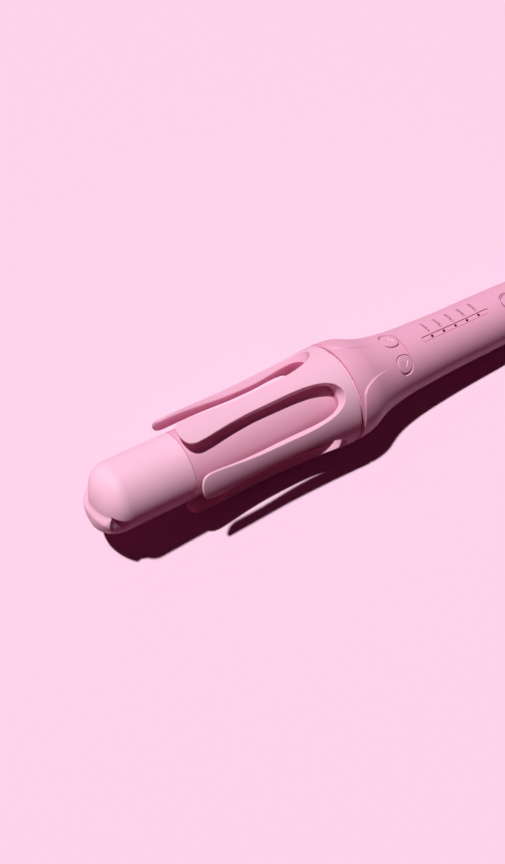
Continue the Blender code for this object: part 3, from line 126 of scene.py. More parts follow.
# Tongue of the neck: its edge as (share of the neck behind the front, angle)
TONGUE_RIM = 0.0004
TONGUE_EDGE = (
    (0.0070, 180.0), (0.0076, 110.0), (0.0090, 78.0), (0.013, 56.0), (0.026, 42.0), (0.055, 32.0),
    (0.147, 24.5), (0.231, 21.5), (0.314, 20.3), (0.398, 20.0), (1.0, 20.0),
)

# How much is left of the tongue's sink and step, by the share of the neck behind the front
TONGUE_FADE = ((0.0, 1.0), (0.147, 1.0), (0.231, 0.85), (0.314, 0.5), (0.398, 0.18), (0.482, 0.0))
TONGUE_RUN = 0.0005

# Keys, their pocket, the row of lights and the power key
KEY_X = COLLAR_X - 0.0417
KEY_ANGLE = 24.5
KEY_HALF_LENGTH = 0.0051
KEY_HALF_WIDTH = 0.0054
KEY_POWER = 2.4
KEY_ROUND = 0.0006
KEY_THICKNESS = 0.0008
KEY_DRAFT = 0.0005
KEY_POCKET_HALF_LENGTH = 0.0057
KEY_POCKET_HALF_ANGLE = 43.5
KEY_POCKET_POWER = 2.8
KEY_GAP = 0.0005
WELL_DEPTH = 0.0015
KEY_RINGS = 34
ARROW_HALF_LENGTH = 0.0024
ARROW_RISE = 0.0016
LIGHT_FIRST_X = COLLAR_X - 0.0681
LIGHT_PITCH = 0.0091
LIGHT_COUNT = 5
LIGHT_HOLE_RADIUS = 0.00095
LIGHT_HOLE_DEPTH = 0.0007
LIGHT_BAR_HALF_WIDTH = 0.0018
LIGHT_BAR_MARGIN = 0.0079
POWER_X = COLLAR_X - 0.1293
POWER_RADIUS = 0.0050
POWER_POCKET_RADIUS = 0.0065
POWER_RING_RADIUS = 0.0017
POWER_OPENING = 0.0009
POWER_STROKE = (0.0007, 0.0024)

# Claw cage
CLAW_RADIUS = 0.0268
CLAW_COUNT = 5
CLAW_PHASE = -14.2

# Profile of the cage: share of its length from the rear, and share of the collar's extra radius left
CAGE_SHARES = (
    (0.0, 1.0), (0.05, 0.89), (0.10, 0.76), (0.19, 0.580), (0.33, 0.350), (0.47, 0.140), (0.60, 0.03),
    (1.0, 0.0),
)

# Depth of a claw below its outer face, by the share of the cage's length
CLAW_DEPTHS = (
    (0.16, 0.0041), (0.21, 0.0042), (0.28, 0.0046), (0.37, 0.0050), (0.47, 0.0048), (0.56, 0.0044),
    (0.66, 0.0037), (0.76, 0.0030), (0.85, 0.0025), (0.91, 0.0023), (1.0, 0.0022),
)
COLLAR_BORE_RADIUS = 0.0272
BORE_CHAMFER = 0.0002
BUSH_RADIUS = 0.0122
WALL_REAR = 0.0055
WALL_FRONT = 0.0080
WINDOW_ROOT = 0.0067

# A window's edge: share of the length from its root, and share of half the claws' pitch that is open
WINDOW_SHARES = (
    (0.0025, 0.083), (0.010, 0.175), (0.028, 0.311), (0.056, 0.425), (0.10, 0.528), (0.16, 0.606),
    (0.235, 0.658), (0.35, 0.680), (0.55, 0.680), (0.69, 0.639), (0.79, 0.583), (0.878, 0.530),
    (0.93, 0.516), (0.965, 0.560), (0.985, 0.655), (0.996, 0.81),
)

# Root of a window: stations of its edge outside and inside, and the radius where the wall ends inside
ROOT_OUTSIDE = (0.0067, 0.0080, 0.0100, 0.0130, 0.0160)
ROOT_INSIDE = (0.0080, 0.0087, 0.0102, 0.0130, 0.0160)
ROOT_RADIUS = (0.0218, 0.0230, 0.0240, 0.0244, 0.0244)

# Run in front of the cage's wall over which a claw's inner edges become round
UNDER_RUN = 0.0080

# Rows along a claw's edge: close together near the window's root and the claw's tip
ROOT_REACH = 0.0180
ROOT_STEP = 0.00055
CLAW_STEP = 0.0022
CLAW_TIP_REACH = 0.0220
CLAW_TIP_STEP = 0.0005

# Columns round a claw: points across a face and round an edge, and shares down its wall
FACE_POINTS = 19
ROUND_POINTS = 6
WALL_SHARES = (0.25, 0.5, 0.75)

# Barrel and cool tip
BARREL_RADIUS = 0.0190
PETAL_EDGE_ANGLE = 69.0
PETAL_RISE_ANGLE = 55.0
PETAL_LIP_SHARE = 0.97
BARREL_WALL = 0.0012

# Columns of the barrel's section: angle past the upper or the lower petal's edge, and the step up to it
PETAL_HAIR = 0.02
UPPER_EDGE_COLUMNS = ((-4.0, 2.6), (-1.6, 0.5), (-PETAL_HAIR, 0.13), (PETAL_HAIR, 1.0), (5.0, 1.0))
LOWER_EDGE_COLUMNS = ((-5.0, 3.0), (-PETAL_HAIR, 1.0), (PETAL_HAIR, 1.0), (1.6, 0.13), (4.0, 0.5))
LAST_COLUMN_STEP = 2.6

# Cool tip: two domes with a ledge between them. A side runs from 1 at +Y to -1 at -Y, and a power says how
# square a rounded curve is.
TIP_LENGTH = 0.0523
TIP_DOME = 0.0153
UPPER_POWER = 2.2
LOWER_POWER = 2.5
LOWER_HEIGHT_POWER = 5.0
LOWER_SKEW = 0.15
LEDGE_WIDTH = 0.0019
LEDGE_ANGLE = 20.0
CORNER_SIDE = 0.67
CORNER_FADE = 0.05
CORNER_LEAN = 0.20
CORNER_LEAN_ANGLE = 25.0
RECESS_SHARE = 0.16
BACK_SIDE = -0.1
BACK_FADE = 0.8
TIP_COLUMNS = ((6.0, 0.5), (26.0, 1.6), (51.5, 0.4), (174.0, 2.3), (180.0, 0.5))
SEAM_ROUND = 0.0002

# End cap and gland
CAP_LENGTH = 0.0097
CAP_REAR_RADIUS = 0.0140
CAP_SEAT_RADIUS = 0.0073
CAP_BORE_RADIUS = 0.0054
CAP_SCREW_OFFSET = 0.0101
CAP_SINK_RADIUS = 0.0020
CAP_SINK_DEPTH = 0.0017
CAP_ROUND_SHARE = 0.6
CAP_ROUND_POINTS = 14
CAP_LIP = 0.00015
CAP_RIM = 0.0002
CAP_STEP = 0.00025
CAP_ANGLE_STEP = 2.0
CAP_NEAR = 0.00013
CAP_WALL = 0.0022
CAP_FLOOR = 0.0034
CAP_SEAT_DEPTH = 0.0018
SPIGOT_REACH = 0.0150
SPIGOT_GAP = 0.0003
GLAND_RADIUS = 0.0070
GLAND_NECK_RADIUS = 0.0053
GLAND_BORE_RADIUS = 0.0032
GLAND_FLANGE = 0.0012
GLAND_ROUND = 0.0004
GLAND_MOUTH = 0.0006
GLAND_GROOVE = (0.0034, 0.0050)
GLAND_GROOVE_DEPTH = 0.0005
GLAND_COLUMNS = 72

# Number print: each pair is a setting in two scales, from the keys to the power key
PRINT_PAIRS = ("210/410", "190/374", "170/338", "150/302", "130/266")
PRINT_START_ANGLE = -9.5
LETTER_STEPS = 4

# Camera and light, as the photograph was taken
CAMERA_PLACE = (0.31538, 0.15922, 0.53220)
CAMERA_TURN = (26.947, -13.261, 147.742)
CAMERA_LENS = 44.684
CAMERA_SENSOR = 36.0
FLOOR_LIGHT = (0.345, -0.265, 0.90)
KEY_LIGHT = (0.32, -0.38, 0.87)
FRONT_LIGHT = (0.80, -0.50, 0.25)
FRONT_SOFTNESS = 10.0
FLOOR_SLOPE = -0.0648
FLOOR_SIZE = 3.0
FLOOR_ROWS = 9


# Numbers

def linear(code):
    """A colour written as sRGB hex, such as F5B8D2, as linear red, green and blue."""
    parts = np.array([int(code[place:place + 2], 16) for place in (0, 2, 4)]) / 255
    return tuple(np.where(parts <= 0.04045, parts / 12.92, ((parts + 0.055) / 1.055) ** 2.4))


def smooth_step(share):
    """A share eased at both ends: 3 s^2 - 2 s^3 of the share held between 0 and 1."""
    inside = np.clip(share, 0.0, 1.0)
    return inside * inside * (3.0 - 2.0 * inside)


def read_curve(places, values, at):
    """Smooth reading of a table: cubic pieces whose slope at a point is the harmonic mean of its two sides.

    The slope is zero where the sides rise and fall, so the curve never passes a value of the table.
    """
    places = np.asarray(places, float)
    values = np.asarray(values, float)
    widths = np.diff(places)
    rises = np.diff(values) / widths
    before, after = rises[:-1], rises[1:]
    first = 2 * widths[1:] + widths[:-1]
    second = widths[1:] + 2 * widths[:-1]
    agree = before * after > 0
    safe_before = np.where(agree, before, 1.0)
    safe_after = np.where(agree, after, 1.0)
    inner = np.where(agree, (first + second) / (first / safe_before + second / safe_after), 0.0)
    slopes = np.concatenate([rises[:1], inner, rises[-1:]])
    at = np.clip(at, places[0], places[-1])
    cell = np.clip(np.searchsorted(places, at, side="right") - 1, 0, len(widths) - 1)
    share = (at - places[cell]) / widths[cell]
    low = (1 + 2 * share) * (1 - share) ** 2 * values[cell]
    low += share * (1 - share) ** 2 * widths[cell] * slopes[cell]
    high = share ** 2 * (3 - 2 * share) * values[cell + 1]
    high += share ** 2 * (share - 1) * widths[cell] * slopes[cell + 1]
    return low + high


def places_between(start, stretches):
    """Places from a start through stretches of (end, step), each divided evenly."""
    found = [np.array([start])]
    for end, step in stretches:
        count = max(1, math.ceil(abs(end - start) / step - 1e-6))
        found.append(np.linspace(start, end, count + 1)[1:])
        start = end
    return np.concatenate(found)


def around(x, radius, angle):
    """Points at a station, a radius and an angle in radians: (x, r sin a, r cos a) about the axis."""
    x, radius, angle = np.broadcast_arrays(x, radius, angle)
    return np.stack([x, radius * np.sin(angle), AXIS_Z + radius * np.cos(angle)], axis=-1)


def settle(u, v, distance, lines, reach):
    """Moves grid points that lie within reach of a line of constant distance onto it, along its slope."""
    tiny = 0.01 * MILLI
    for line in lines:
        away = distance(u, v)
        slope_u = (distance(u + tiny, v) - distance(u - tiny, v)) / (2 * tiny)
        slope_v = (distance(u, v + tiny) - distance(u, v - tiny)) / (2 * tiny)
        steep = np.maximum(slope_u ** 2 + slope_v ** 2, 0.05)
        move = np.where(np.abs(line - away) < reach, (line - away) / steep, 0.0)
        u = u + move * slope_u
        v = v + move * slope_v
    return u, v


def oval(u, v, half_u, half_v, power):
    """Distance to the line |u/a|^p + |v/b|^p = 1, below zero inside: its root less 1, over its slope."""
    share_u = np.abs(u) / half_u
    share_v = np.abs(v) / half_v
    root = np.maximum((share_u ** power + share_v ** power) ** (1 / power), 0.05)
    slope = np.hypot((share_u / root) ** (power - 1) / half_u, (share_v / root) ** (power - 1) / half_v)
    return (root - 1.0) / np.maximum(slope, 0.5 / max(half_u, half_v))


def pocket(away, depth, run=WALL_RUN):
    """Depth of a pocket whose wall slopes inwards from its outline over a run, with an eased rim."""
    wall = depth * np.clip(-away / run, 0.0, 1.0)
    return wall + 0.2 * run * np.clip(1.0 - away / (2 * run), 0.0, 1.0) ** 2


def seam(away, depth):
    """Depth of a narrow groove with two sloping walls, just inside an outline."""
    return depth * np.clip(1.0 - np.abs(away / SEAM_RUN + 1.0), 0.0, 1.0)


# Meshes

def grid_faces(rows, columns, wrap_rows, wrap_columns):
    """The corners of each face of a grid of points, numbered row by row, joined up where it wraps."""
    numbers = np.arange(rows * columns).reshape(rows, columns)
    if wrap_rows:
        numbers = np.vstack([numbers, numbers[:1]])
    if wrap_columns:
        numbers = np.hstack([numbers, numbers[:, :1]])
    corners = (numbers[:-1, :-1], numbers[1:, :-1], numbers[1:, 1:], numbers[:-1, 1:])
    return np.stack(corners, axis=-1).reshape(-1, 4)


def make_piece(name, grids, finish, body, replaced=()):
    """Joins grids of (points, wrap rows, wrap columns) into one mesh, closes its seams and hangs it up."""
    corners = []
    faces = []
    count = 0
    for points, wrap_rows, wrap_columns in grids:
        rows, columns = points.shape[:2]
        corners.append(points.reshape(-1, 3))
        faces.append(grid_faces(rows, columns, wrap_rows, wrap_columns) + count)
        count += rows * columns
    corners = np.concatenate(corners)
    faces = np.concatenate(faces)
    mesh = bpy.data.meshes.new(name)
    mesh.vertices.add(len(corners))
    mesh.vertices.foreach_set("co", corners.astype(np.float32).ravel())
    mesh.loops.add(faces.size)
    mesh.loops.foreach_set("vertex_index", faces.astype(np.int32).ravel())
    mesh.polygons.add(len(faces))
    mesh.polygons.foreach_set("loop_start", np.arange(0, faces.size, 4, dtype=np.int32))
    mesh.update(calc_edges=True)
    shape = bmesh.new()
    shape.from_mesh(mesh)
    bmesh.ops.remove_doubles(shape, verts=shape.verts, dist=MERGE_DISTANCE)
    bmesh.ops.recalc_face_normals(shape, faces=shape.faces)
    shape.to_mesh(mesh)
    shape.free()
    hang(name, mesh, finish, body, replaced)


def hang(name, mesh, finish, body, replaced=()):
    """Puts a finished mesh into the scene at the origin, on a body of the tool."""
    mesh.shade_smooth()
    mesh.set_sharp_from_angle(angle=math.radians(SHARP_ANGLE))
    mesh.materials.append(finish)
    piece = bpy.data.objects.new(name, mesh)
    bpy.context.scene.collection.objects.link(piece)
    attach(piece, body)
    if replaced:
        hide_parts(*replaced)


def turned(outline, steps):
    """A closed outline of (x, radius) turned about the axis: one row a corner, one column an angle."""
    stations, radii = np.array(outline, float).T
    angles = np.arange(steps) * math.tau / steps
    return around(stations[:, None], radii[:, None], angles[None, :])


def corner_arc(x, radius, side_x, side_radius, size, steps=5):
    """Points of a quarter round of a size at a corner, from the face that ends there to the next side."""
    turn = np.linspace(0.0, math.pi / 2, steps)
    arc_x = x - side_x * size * (1 - np.sin(turn))
    arc_radius = radius - side_radius * size * (1 - np.cos(turn))
    return list(zip(arc_x, arc_radius))


# Materials

def add(tree, kind, settings, links):
    """Adds a node of a kind, sets its properties or unlinked inputs, and joins other inputs to outputs."""
    node = tree.nodes.new(kind)
    for key, value in settings.items():
        if isinstance(key, str) and hasattr(node, key):
            setattr(node, key, value)
        else:
            node.inputs[key].default_value = value
    for key, source in links.items():
        tree.links.new(source, node.inputs[key])
    return node


def blank(name):
    """A node material with its output alone, and Object coordinates to draw patterns on."""
    made = bpy.data.materials.new(name)
    made.use_nodes = True
    tree = made.node_tree
    tree.nodes.clear()
    place = tree.nodes.new("ShaderNodeTexCoord").outputs["Object"]
    return made, tree, place


def moulded_plastic(name, colour, roughness, grain_mm, bump_mm, specular=0.5, patchiness=0.04):
    """Moulded plastic: the mould's fine even grain softens the gloss, and the tone is barely uneven."""
    made, tree, place = blank(name)
    shade = tuple(channel * (1.0 - patchiness) for channel in colour)
    cloud = add(tree, "ShaderNodeTexNoise", {"Scale": 1 / (22 * MILLI), "Detail": 3.0}, {"Vector": place})
    tint = add(
        tree, "ShaderNodeMix", {"data_type": "RGBA", 6: (*shade, 1.0), 7: (*colour, 1.0)},
        {0: cloud.outputs["Fac"]},
    )
    grain = add(
        tree, "ShaderNodeTexNoise", {"Scale": 1 / (grain_mm * MILLI), "Detail": 4.0, "Roughness": 0.65},
        {"Vector": place},
    )
    gloss = add(
        tree, "ShaderNodeMapRange", {"To Min": roughness - 0.05, "To Max": roughness + 0.06},
        {"Value": grain.outputs["Fac"]},
    )
    bump = add(
        tree, "ShaderNodeBump", {"Strength": 0.35, "Distance": bump_mm * MILLI},
        {"Height": grain.outputs["Fac"]},
    )
    shader = add(
        tree, "ShaderNodeBsdfPrincipled", {"IOR": 1.50, "Specular IOR Level": specular},
        {"Base Color": tint.outputs[2], "Roughness": gloss.outputs[0], "Normal": bump.outputs[0]},
    )
    add(tree, "ShaderNodeOutputMaterial", {}, {"Surface": shader.outputs[0]})
    return made


def worked_metal(name, colour, roughness, grain_mm, stretch, bump_mm):
    """Bare or plated metal: its grain is a noise stretched the way that drawing or turning leaves it."""
    made, tree, place = blank(name)
    laid = add(tree, "ShaderNodeMapping", {"Scale": stretch}, {"Vector": place})
    grain = add(
        tree, "ShaderNodeTexNoise", {"Scale": 1 / (grain_mm * MILLI), "Detail": 5.0},
        {"Vector": laid.outputs[0]},
    )
    dull = tuple(channel * 0.8 for channel in colour)
    tint = add(
        tree, "ShaderNodeMix", {"data_type": "RGBA", 6: (*dull, 1.0), 7: (*colour, 1.0)},
        {0: grain.outputs["Fac"]},
    )
    gloss = add(
        tree, "ShaderNodeMapRange", {"To Min": roughness - 0.08, "To Max": roughness + 0.12},
        {"Value": grain.outputs["Fac"]},
    )
    bump = add(
        tree, "ShaderNodeBump", {"Strength": 0.4, "Distance": bump_mm * MILLI},
        {"Height": grain.outputs["Fac"]},
    )
    shader = add(
        tree, "ShaderNodeBsdfPrincipled", {"Metallic": 1.0},
        {"Base Color": tint.outputs[2], "Roughness": gloss.outputs[0], "Normal": bump.outputs[0]},
    )
    add(tree, "ShaderNodeOutputMaterial", {}, {"Surface": shader.outputs[0]})
    return made


def board_laminate(name, colour, thread_mm):
    """Glass-fibre board under solder lacquer: a faint plain weave of threads shows through the gloss."""
    made, tree, place = blank(name)
    waves = []
    for way in ("X", "Y"):
        settings = {"bands_direction": way, "Scale": 0.16 / (thread_mm * MILLI), "Distortion": 0.4}
        waves.append(add(tree, "ShaderNodeTexWave", settings, {"Vector": place}).outputs["Fac"])
    weave = add(tree, "ShaderNodeMath", {"operation": "MULTIPLY"}, {0: waves[0], 1: waves[1]})
    light = tuple(min(1.0, channel * 1.5 + 0.01) for channel in colour)
    tint = add(
        tree, "ShaderNodeMix", {"data_type": "RGBA", 6: (*colour, 1.0), 7: (*light, 1.0)},
        {0: weave.outputs[0]},
    )
    shader = add(
        tree, "ShaderNodeBsdfPrincipled", {"Roughness": 0.32, "IOR": 1.55}, {"Base Color": tint.outputs[2]},
    )
    add(tree, "ShaderNodeOutputMaterial", {}, {"Surface": shader.outputs[0]})
    return made


def clear_moulding(name, colour, clearness):
    """Clear or tinted moulding, glossy with a faint haze, that lets some of what is under it through."""
    made, tree, place = blank(name)
    haze = add(tree, "ShaderNodeTexNoise", {"Scale": 1 / (1.5 * MILLI), "Detail": 3.0}, {"Vector": place})
    gloss = add(
        tree, "ShaderNodeMapRange", {"To Min": 0.08, "To Max": 0.22}, {"Value": haze.outputs["Fac"]},
    )
    shader = add(
        tree, "ShaderNodeBsdfPrincipled",
        {"Base Color": (*colour, 1.0), "IOR": 1.58, "Transmission Weight": clearness},
        {"Roughness": gloss.outputs[0]},
    )
    add(tree, "ShaderNodeOutputMaterial", {}, {"Surface": shader.outputs[0]})
    return made


def print_ink(name, colour):
    """Pad-printed ink: matt, a little thin at places, so its tone is broken at a tenth of a millimetre."""
    made, tree, place = blank(name)
    thin = add(tree, "ShaderNodeTexNoise", {"Scale": 1 / (0.12 * MILLI), "Detail": 2.0}, {"Vector": place})
    pale = tuple(channel * 1.25 for channel in colour)
    tint = add(
        tree, "ShaderNodeMix", {"data_type": "RGBA", 6: (*colour, 1.0), 7: (*pale, 1.0)},
        {0: thin.outputs["Fac"]},
    )
    shader = add(
        tree, "ShaderNodeBsdfPrincipled", {"Roughness": 0.6, "IOR": 1.48}, {"Base Color": tint.outputs[2]},
    )
    add(tree, "ShaderNodeOutputMaterial", {}, {"Surface": shader.outputs[0]})
    return made


def pink_finish(name):
    """Finishes of the pieces that show, by name, or nothing where the name is another's."""
    colours = bpy.context.scene.curler_colours
    shell = tuple(colours.shell)
    grip = tuple(colours.grip)
    # Satin ABS, injection moulded in an eroded tool: its grain spreads the light to a broad soft gloss.
    # The real grain is 0.1 mm and is drawn coarser, at 0.25 mm, so that the render's pixels can hold it.
    if name == "satin_pink_abs":
        return moulded_plastic(name, shell, roughness=0.48, grain_mm=0.25, bump_mm=0.010, specular=0.15)
    # The handle is the same moulding as the cage, drawn in a deeper pink: painted shade that darkens the
    # handle's tones below the cage's. Its grain, too, is drawn coarser than the real 0.1 mm.
    if name == "satin_pink_grip_painted_shade":
        return moulded_plastic(name, grip, roughness=0.46, grain_mm=0.25, bump_mm=0.010, specular=0.3)
    # Ceramic lacquer, sprayed and baked on the barrel: it flows out before it sets, so the gloss is a
    # little sharper than the shell's. The orange peel of 0.2 mm is drawn coarser, at 0.35 mm.
    if name == "pink_ceramic_lacquer":
        return moulded_plastic(name, tuple(colours.barrel), roughness=0.40, grain_mm=0.35, bump_mm=0.006)
    # Keys: ABS from a finer spark-eroded tool, so that fingers slide on them and they look a touch
    # smoother. Their grain of 0.08 mm is drawn coarser, at 0.18 mm.
    # Their colour is the grip's deeper pink, painted shade as on the handle.
    if name == "fine_pink_abs":
        return moulded_plastic(name, grip, roughness=0.42, grain_mm=0.18, bump_mm=0.006)
    # Ink pressed on by a soft silicone pad: a thin matt film, dark and without relief
    if name == "pad_printed_ink":
        return print_ink(name, tuple(colours.ink))
    # The gland: PVC with plasticiser, injection moulded, a softer and slightly darker grade without gloss
    if name == "soft_pink_pvc":
        darker = tuple(channel * 0.9 for channel in shell)
        return moulded_plastic(name, darker, roughness=0.62, grain_mm=0.3, bump_mm=0.02, specular=0.4)
    return None


def inner_finish(name):
    """Finishes of the pieces inside, by name, or nothing where the name is another's."""
    # Gears, bush and chassis: nylon moulded without pigment, milky and slightly waxy
    if name == "natural_nylon":
        return moulded_plastic(name, linear("ECE7DA"), roughness=0.5, grain_mm=0.5, bump_mm=0.012)
    # Parts beside the heater: glass-filled resin from a hot press, whose fibres mottle a dull surface
    if name == "heat_proof_resin":
        return moulded_plastic(
            name, linear("CFC8BC"), roughness=0.66, grain_mm=0.4, bump_mm=0.03, specular=0.4,
            patchiness=0.12,
        )
    # Chip, switches, sensor, transformer: resin moulded round the part, black with an even low gloss
    if name == "black_moulding":
        return moulded_plastic(name, linear("201C1E"), roughness=0.45, grain_mm=0.2, bump_mm=0.01)
    # The heater: pressed and fired without a glaze, chalky and nearly without gloss
    if name == "fired_ceramic":
        return moulded_plastic(
            name, linear("E4DFD6"), roughness=0.7, grain_mm=0.3, bump_mm=0.03, specular=0.4,
            patchiness=0.08,
        )
    # Shafts, screws, clips and the motor's can: steel drawn or rolled and zinc plated, bright, with fine
    # lines along its length
    if name == "zinc_plated_steel":
        return worked_metal(
            name, linear("C2C5CA"), roughness=0.3, grain_mm=0.2, stretch=(0.2, 1.0, 1.0), bump_mm=0.01,
        )
    # Spreaders and cans: milled or drawn along their length, and the lines stretch each highlight across
    if name == "milled_aluminium":
        return worked_metal(
            name, linear("D5D7DA"), roughness=0.36, grain_mm=0.25, stretch=(0.08, 1.0, 1.0), bump_mm=0.02,
        )
    # The gearbox's case: brass turned on a lathe, a warm metal with rings round its axis
    if name == "turned_brass":
        return worked_metal(
            name, linear("C9A24E"), roughness=0.3, grain_mm=0.2, stretch=(1.0, 0.2, 0.2), bump_mm=0.01,
        )
    # Boards: glass cloth in epoxy under a green lacquer, with the cloth's weave faint beneath the gloss
    if name == "lacquered_board":
        return board_laminate(name, linear("0E5A2E"), thread_mm=0.6)
    # The light guide: tinted polycarbonate, polished in the tool, dark until a light shines through
    if name == "smoked_polycarbonate":
        return clear_moulding(name, linear("4A1028"), clearness=0.25)
    # Indicator lights: cast epoxy, clear and domed, that look dark in their holes while they are off
    if name == "water_clear_epoxy":
        return clear_moulding(name, linear("F2EEEA"), clearness=0.8)
    return None


def look(name):
    """The finish of this name, made when it is first asked for."""
    made = bpy.data.materials.get(name) or pink_finish(name) or inner_finish(name)
    if made is None:
        raise ValueError(f"no finish is named {name}")
    return made


# Handle

def handle_radius(x):
    """Radius of the handle: the neck's shares from the front, then the grip's, as one smooth curve."""
    grip = HANDLE_FRONT_X - NECK_LENGTH - HANDLE_REAR_X
    behind = [share * NECK_LENGTH for share, value in NECK_SHARES]
    behind += [NECK_LENGTH + share * grip for share, value in GRIP_SHARES]
    flare = FRONT_RADIUS - GRIP_FRONT_RADIUS
    taper = GRIP_FRONT_RADIUS - GRIP_REAR_RADIUS
    radii = [GRIP_FRONT_RADIUS + flare * value for share, value in NECK_SHARES]
    radii += [GRIP_REAR_RADIUS + taper * value for share, value in GRIP_SHARES]
    return read_curve(behind, radii, HANDLE_FRONT_X - x)


def scaled(width, x):
    """A width along the skin at a station, as a length at the radius that arcs are counted at."""
    return width * ARC_RADIUS / float(handle_radius(x))


def tongue_distance(x, arc):
    """Distance outwards from the tongue's edge: the angle past the edge's angle there, over its slope."""
    behind = (HANDLE_FRONT_X - x) / NECK_LENGTH
    shares, angles = zip(*TONGUE_EDGE)

    def edge(share):
        """Arc of the tongue's edge at a share of the neck."""
        return np.radians(read_curve(shares, angles, share)) * ARC_RADIUS

    tiny = 0.002
    slope = (edge(behind + tiny) - edge(behind - tiny)) / (2 * tiny * NECK_LENGTH)
    return (np.abs(arc) - edge(behind)) / np.sqrt(1.0 + slope ** 2)


def key_pocket_distance(x, arc):
    """Distance outwards from the rim of the pocket that both keys lie in."""
    half_arc = math.radians(KEY_POCKET_HALF_ANGLE) * ARC_RADIUS
    return oval(x - KEY_X, arc, KEY_POCKET_HALF_LENGTH, half_arc, KEY_POCKET_POWER)


def key_well_distance(x, arc):
    """Distance outwards from the nearer of the two wells that the keys sink into."""
    middle = math.radians(KEY_ANGLE) * ARC_RADIUS
    half_width = scaled(KEY_HALF_WIDTH + KEY_GAP, KEY_X)
    return oval(x - KEY_X, np.abs(arc) - middle, KEY_HALF_LENGTH + KEY_GAP, half_width, KEY_POWER)


def light_x():
    """Stations of the row of lights."""
    return LIGHT_FIRST_X - LIGHT_PITCH * np.arange(LIGHT_COUNT)


def light_bar_distance(x, arc):
    """Distance outwards from the bar of the lights: that to its middle line, less its half width."""
    stations = light_x()
    half = (stations[0] - stations[-1]) / 2 + LIGHT_BAR_MARGIN - LIGHT_BAR_HALF_WIDTH
    past = np.maximum(np.abs(x - stations.mean()) - half, 0.0)
    return np.hypot(past, arc) - LIGHT_BAR_HALF_WIDTH


def light_hole_distance(x, arc):
    """Distance outwards from the nearest light's round hole."""
    nearest = np.round((LIGHT_FIRST_X - x) / LIGHT_PITCH).clip(0, LIGHT_COUNT - 1)
    return np.hypot(x - LIGHT_FIRST_X + LIGHT_PITCH * nearest, arc) - LIGHT_HOLE_RADIUS


def power_pocket_distance(x, arc):
    """Distance outwards from the rim of the power key's pocket."""
    return oval(x - POWER_X, arc, POWER_POCKET_RADIUS, scaled(POWER_POCKET_RADIUS, POWER_X), 2.0)


def power_well_distance(x, arc):
    """Distance outwards from the well that the power key sinks into."""
    reach = POWER_RADIUS + KEY_GAP
    return oval(x - POWER_X, arc, reach, scaled(reach, POWER_X), 2.0)


def handle_stations(sizes):
    """Stations of the handle's rows from the rear: fine across each pocket, hole and rim, wider between."""
    bar_rear = light_x()[-1] - LIGHT_BAR_MARGIN
    bar_front = light_x()[0] + LIGHT_BAR_MARGIN
    power_reach = POWER_POCKET_RADIUS + FINE_MARGIN
    hole_reach = LIGHT_HOLE_RADIUS + FINE_MARGIN
    key_reach = KEY_POCKET_HALF_LENGTH + FINE_MARGIN
    stretches = [
        (HANDLE_REAR_X + 2 * HANDLE_CHAMFER, HANDLE_CHAMFER),
        (POWER_X - power_reach, REAR_STEP), (POWER_X + power_reach, FINE_STEP),
        (bar_rear - FINE_MARGIN, BAR_STEP), (bar_rear + LIGHT_BAR_HALF_WIDTH, FINE_STEP),
    ]
    for station in light_x()[::-1]:
        stretches += [(station - hole_reach, BETWEEN_STEP), (station + hole_reach, FINE_STEP)]
    stretches += [
        (bar_front - LIGHT_BAR_HALF_WIDTH, BETWEEN_STEP), (bar_front + FINE_MARGIN, FINE_STEP),
        (KEY_X - key_reach, BETWEEN_STEP), (KEY_X + key_reach, FINE_STEP),
        (HANDLE_FRONT_X - FLARE_REACH, NECK_STEP), (HANDLE_FRONT_X - TONGUE_RIM - RIM_REACH, FLARE_STEP),
        (HANDLE_FRONT_X - sizes.lip_round, RIM_STEP),
    ]
    return places_between(HANDLE_REAR_X + HANDLE_CHAMFER, stretches)


def handle_columns():
    """Angles once round the handle, in degrees: fine over the keys and lights, wider below."""
    fine = FINE_ANGLE_SHARE * math.degrees(FINE_STEP / ARC_RADIUS)
    stretches = [
        (-MIDDLING_HALF_ANGLE, PLAIN_ANGLE_STEP), (-FINE_HALF_ANGLE, MIDDLING_ANGLE_STEP),
        (FINE_HALF_ANGLE, fine), (MIDDLING_HALF_ANGLE, MIDDLING_ANGLE_STEP), (180.0, PLAIN_ANGLE_STEP),
    ]
    return places_between(-180.0, stretches)[:-1]


def handle_outside(sizes):
    """The skin as rows of stations and columns of angles: the profile's radius less each pocket's depth.

    The grid first settles onto the outlines. The radius also sinks on the tongue and rises beside it.
    """
    columns = np.radians(handle_columns())
    x, arc = np.meshgrid(handle_stations(sizes), columns * ARC_RADIUS, indexing="ij")
    near = FINE_STEP / 2
    pockets = (
        (key_pocket_distance, sizes.pocket_depth),
        (light_bar_distance, sizes.light_bar_depth),
        (power_pocket_distance, sizes.pocket_depth),
    )
    wells = (
        (key_well_distance, WELL_DEPTH),
        (light_hole_distance, LIGHT_HOLE_DEPTH),
        (power_well_distance, WELL_DEPTH),
    )
    x, arc = settle(x, arc, tongue_distance, (0.0, TONGUE_RUN), near)
    for distance, depth in pockets:
        x, arc = settle(x, arc, distance, (0.0, -SEAM_RUN, -2 * SEAM_RUN), near)
    for distance, depth in wells:
        x, arc = settle(x, arc, distance, (0.0, -WALL_RUN), near)
    shares, values = zip(*TONGUE_FADE)
    fade = read_curve(shares, values, (HANDLE_FRONT_X - x) / NECK_LENGTH)
    step = smooth_step(tongue_distance(x, arc) / TONGUE_RUN) * fade
    radius = handle_radius(x) - sizes.tongue_sink * fade + sizes.tongue_step * step
    for distance, depth in pockets:
        away = distance(x, arc)
        radius -= pocket(away, depth, SEAM_RUN) + seam(away, sizes.seam_depth)
    for distance, depth in wells:
        radius -= pocket(distance(x, arc), depth)
    return x, radius, arc / ARC_RADIUS, columns


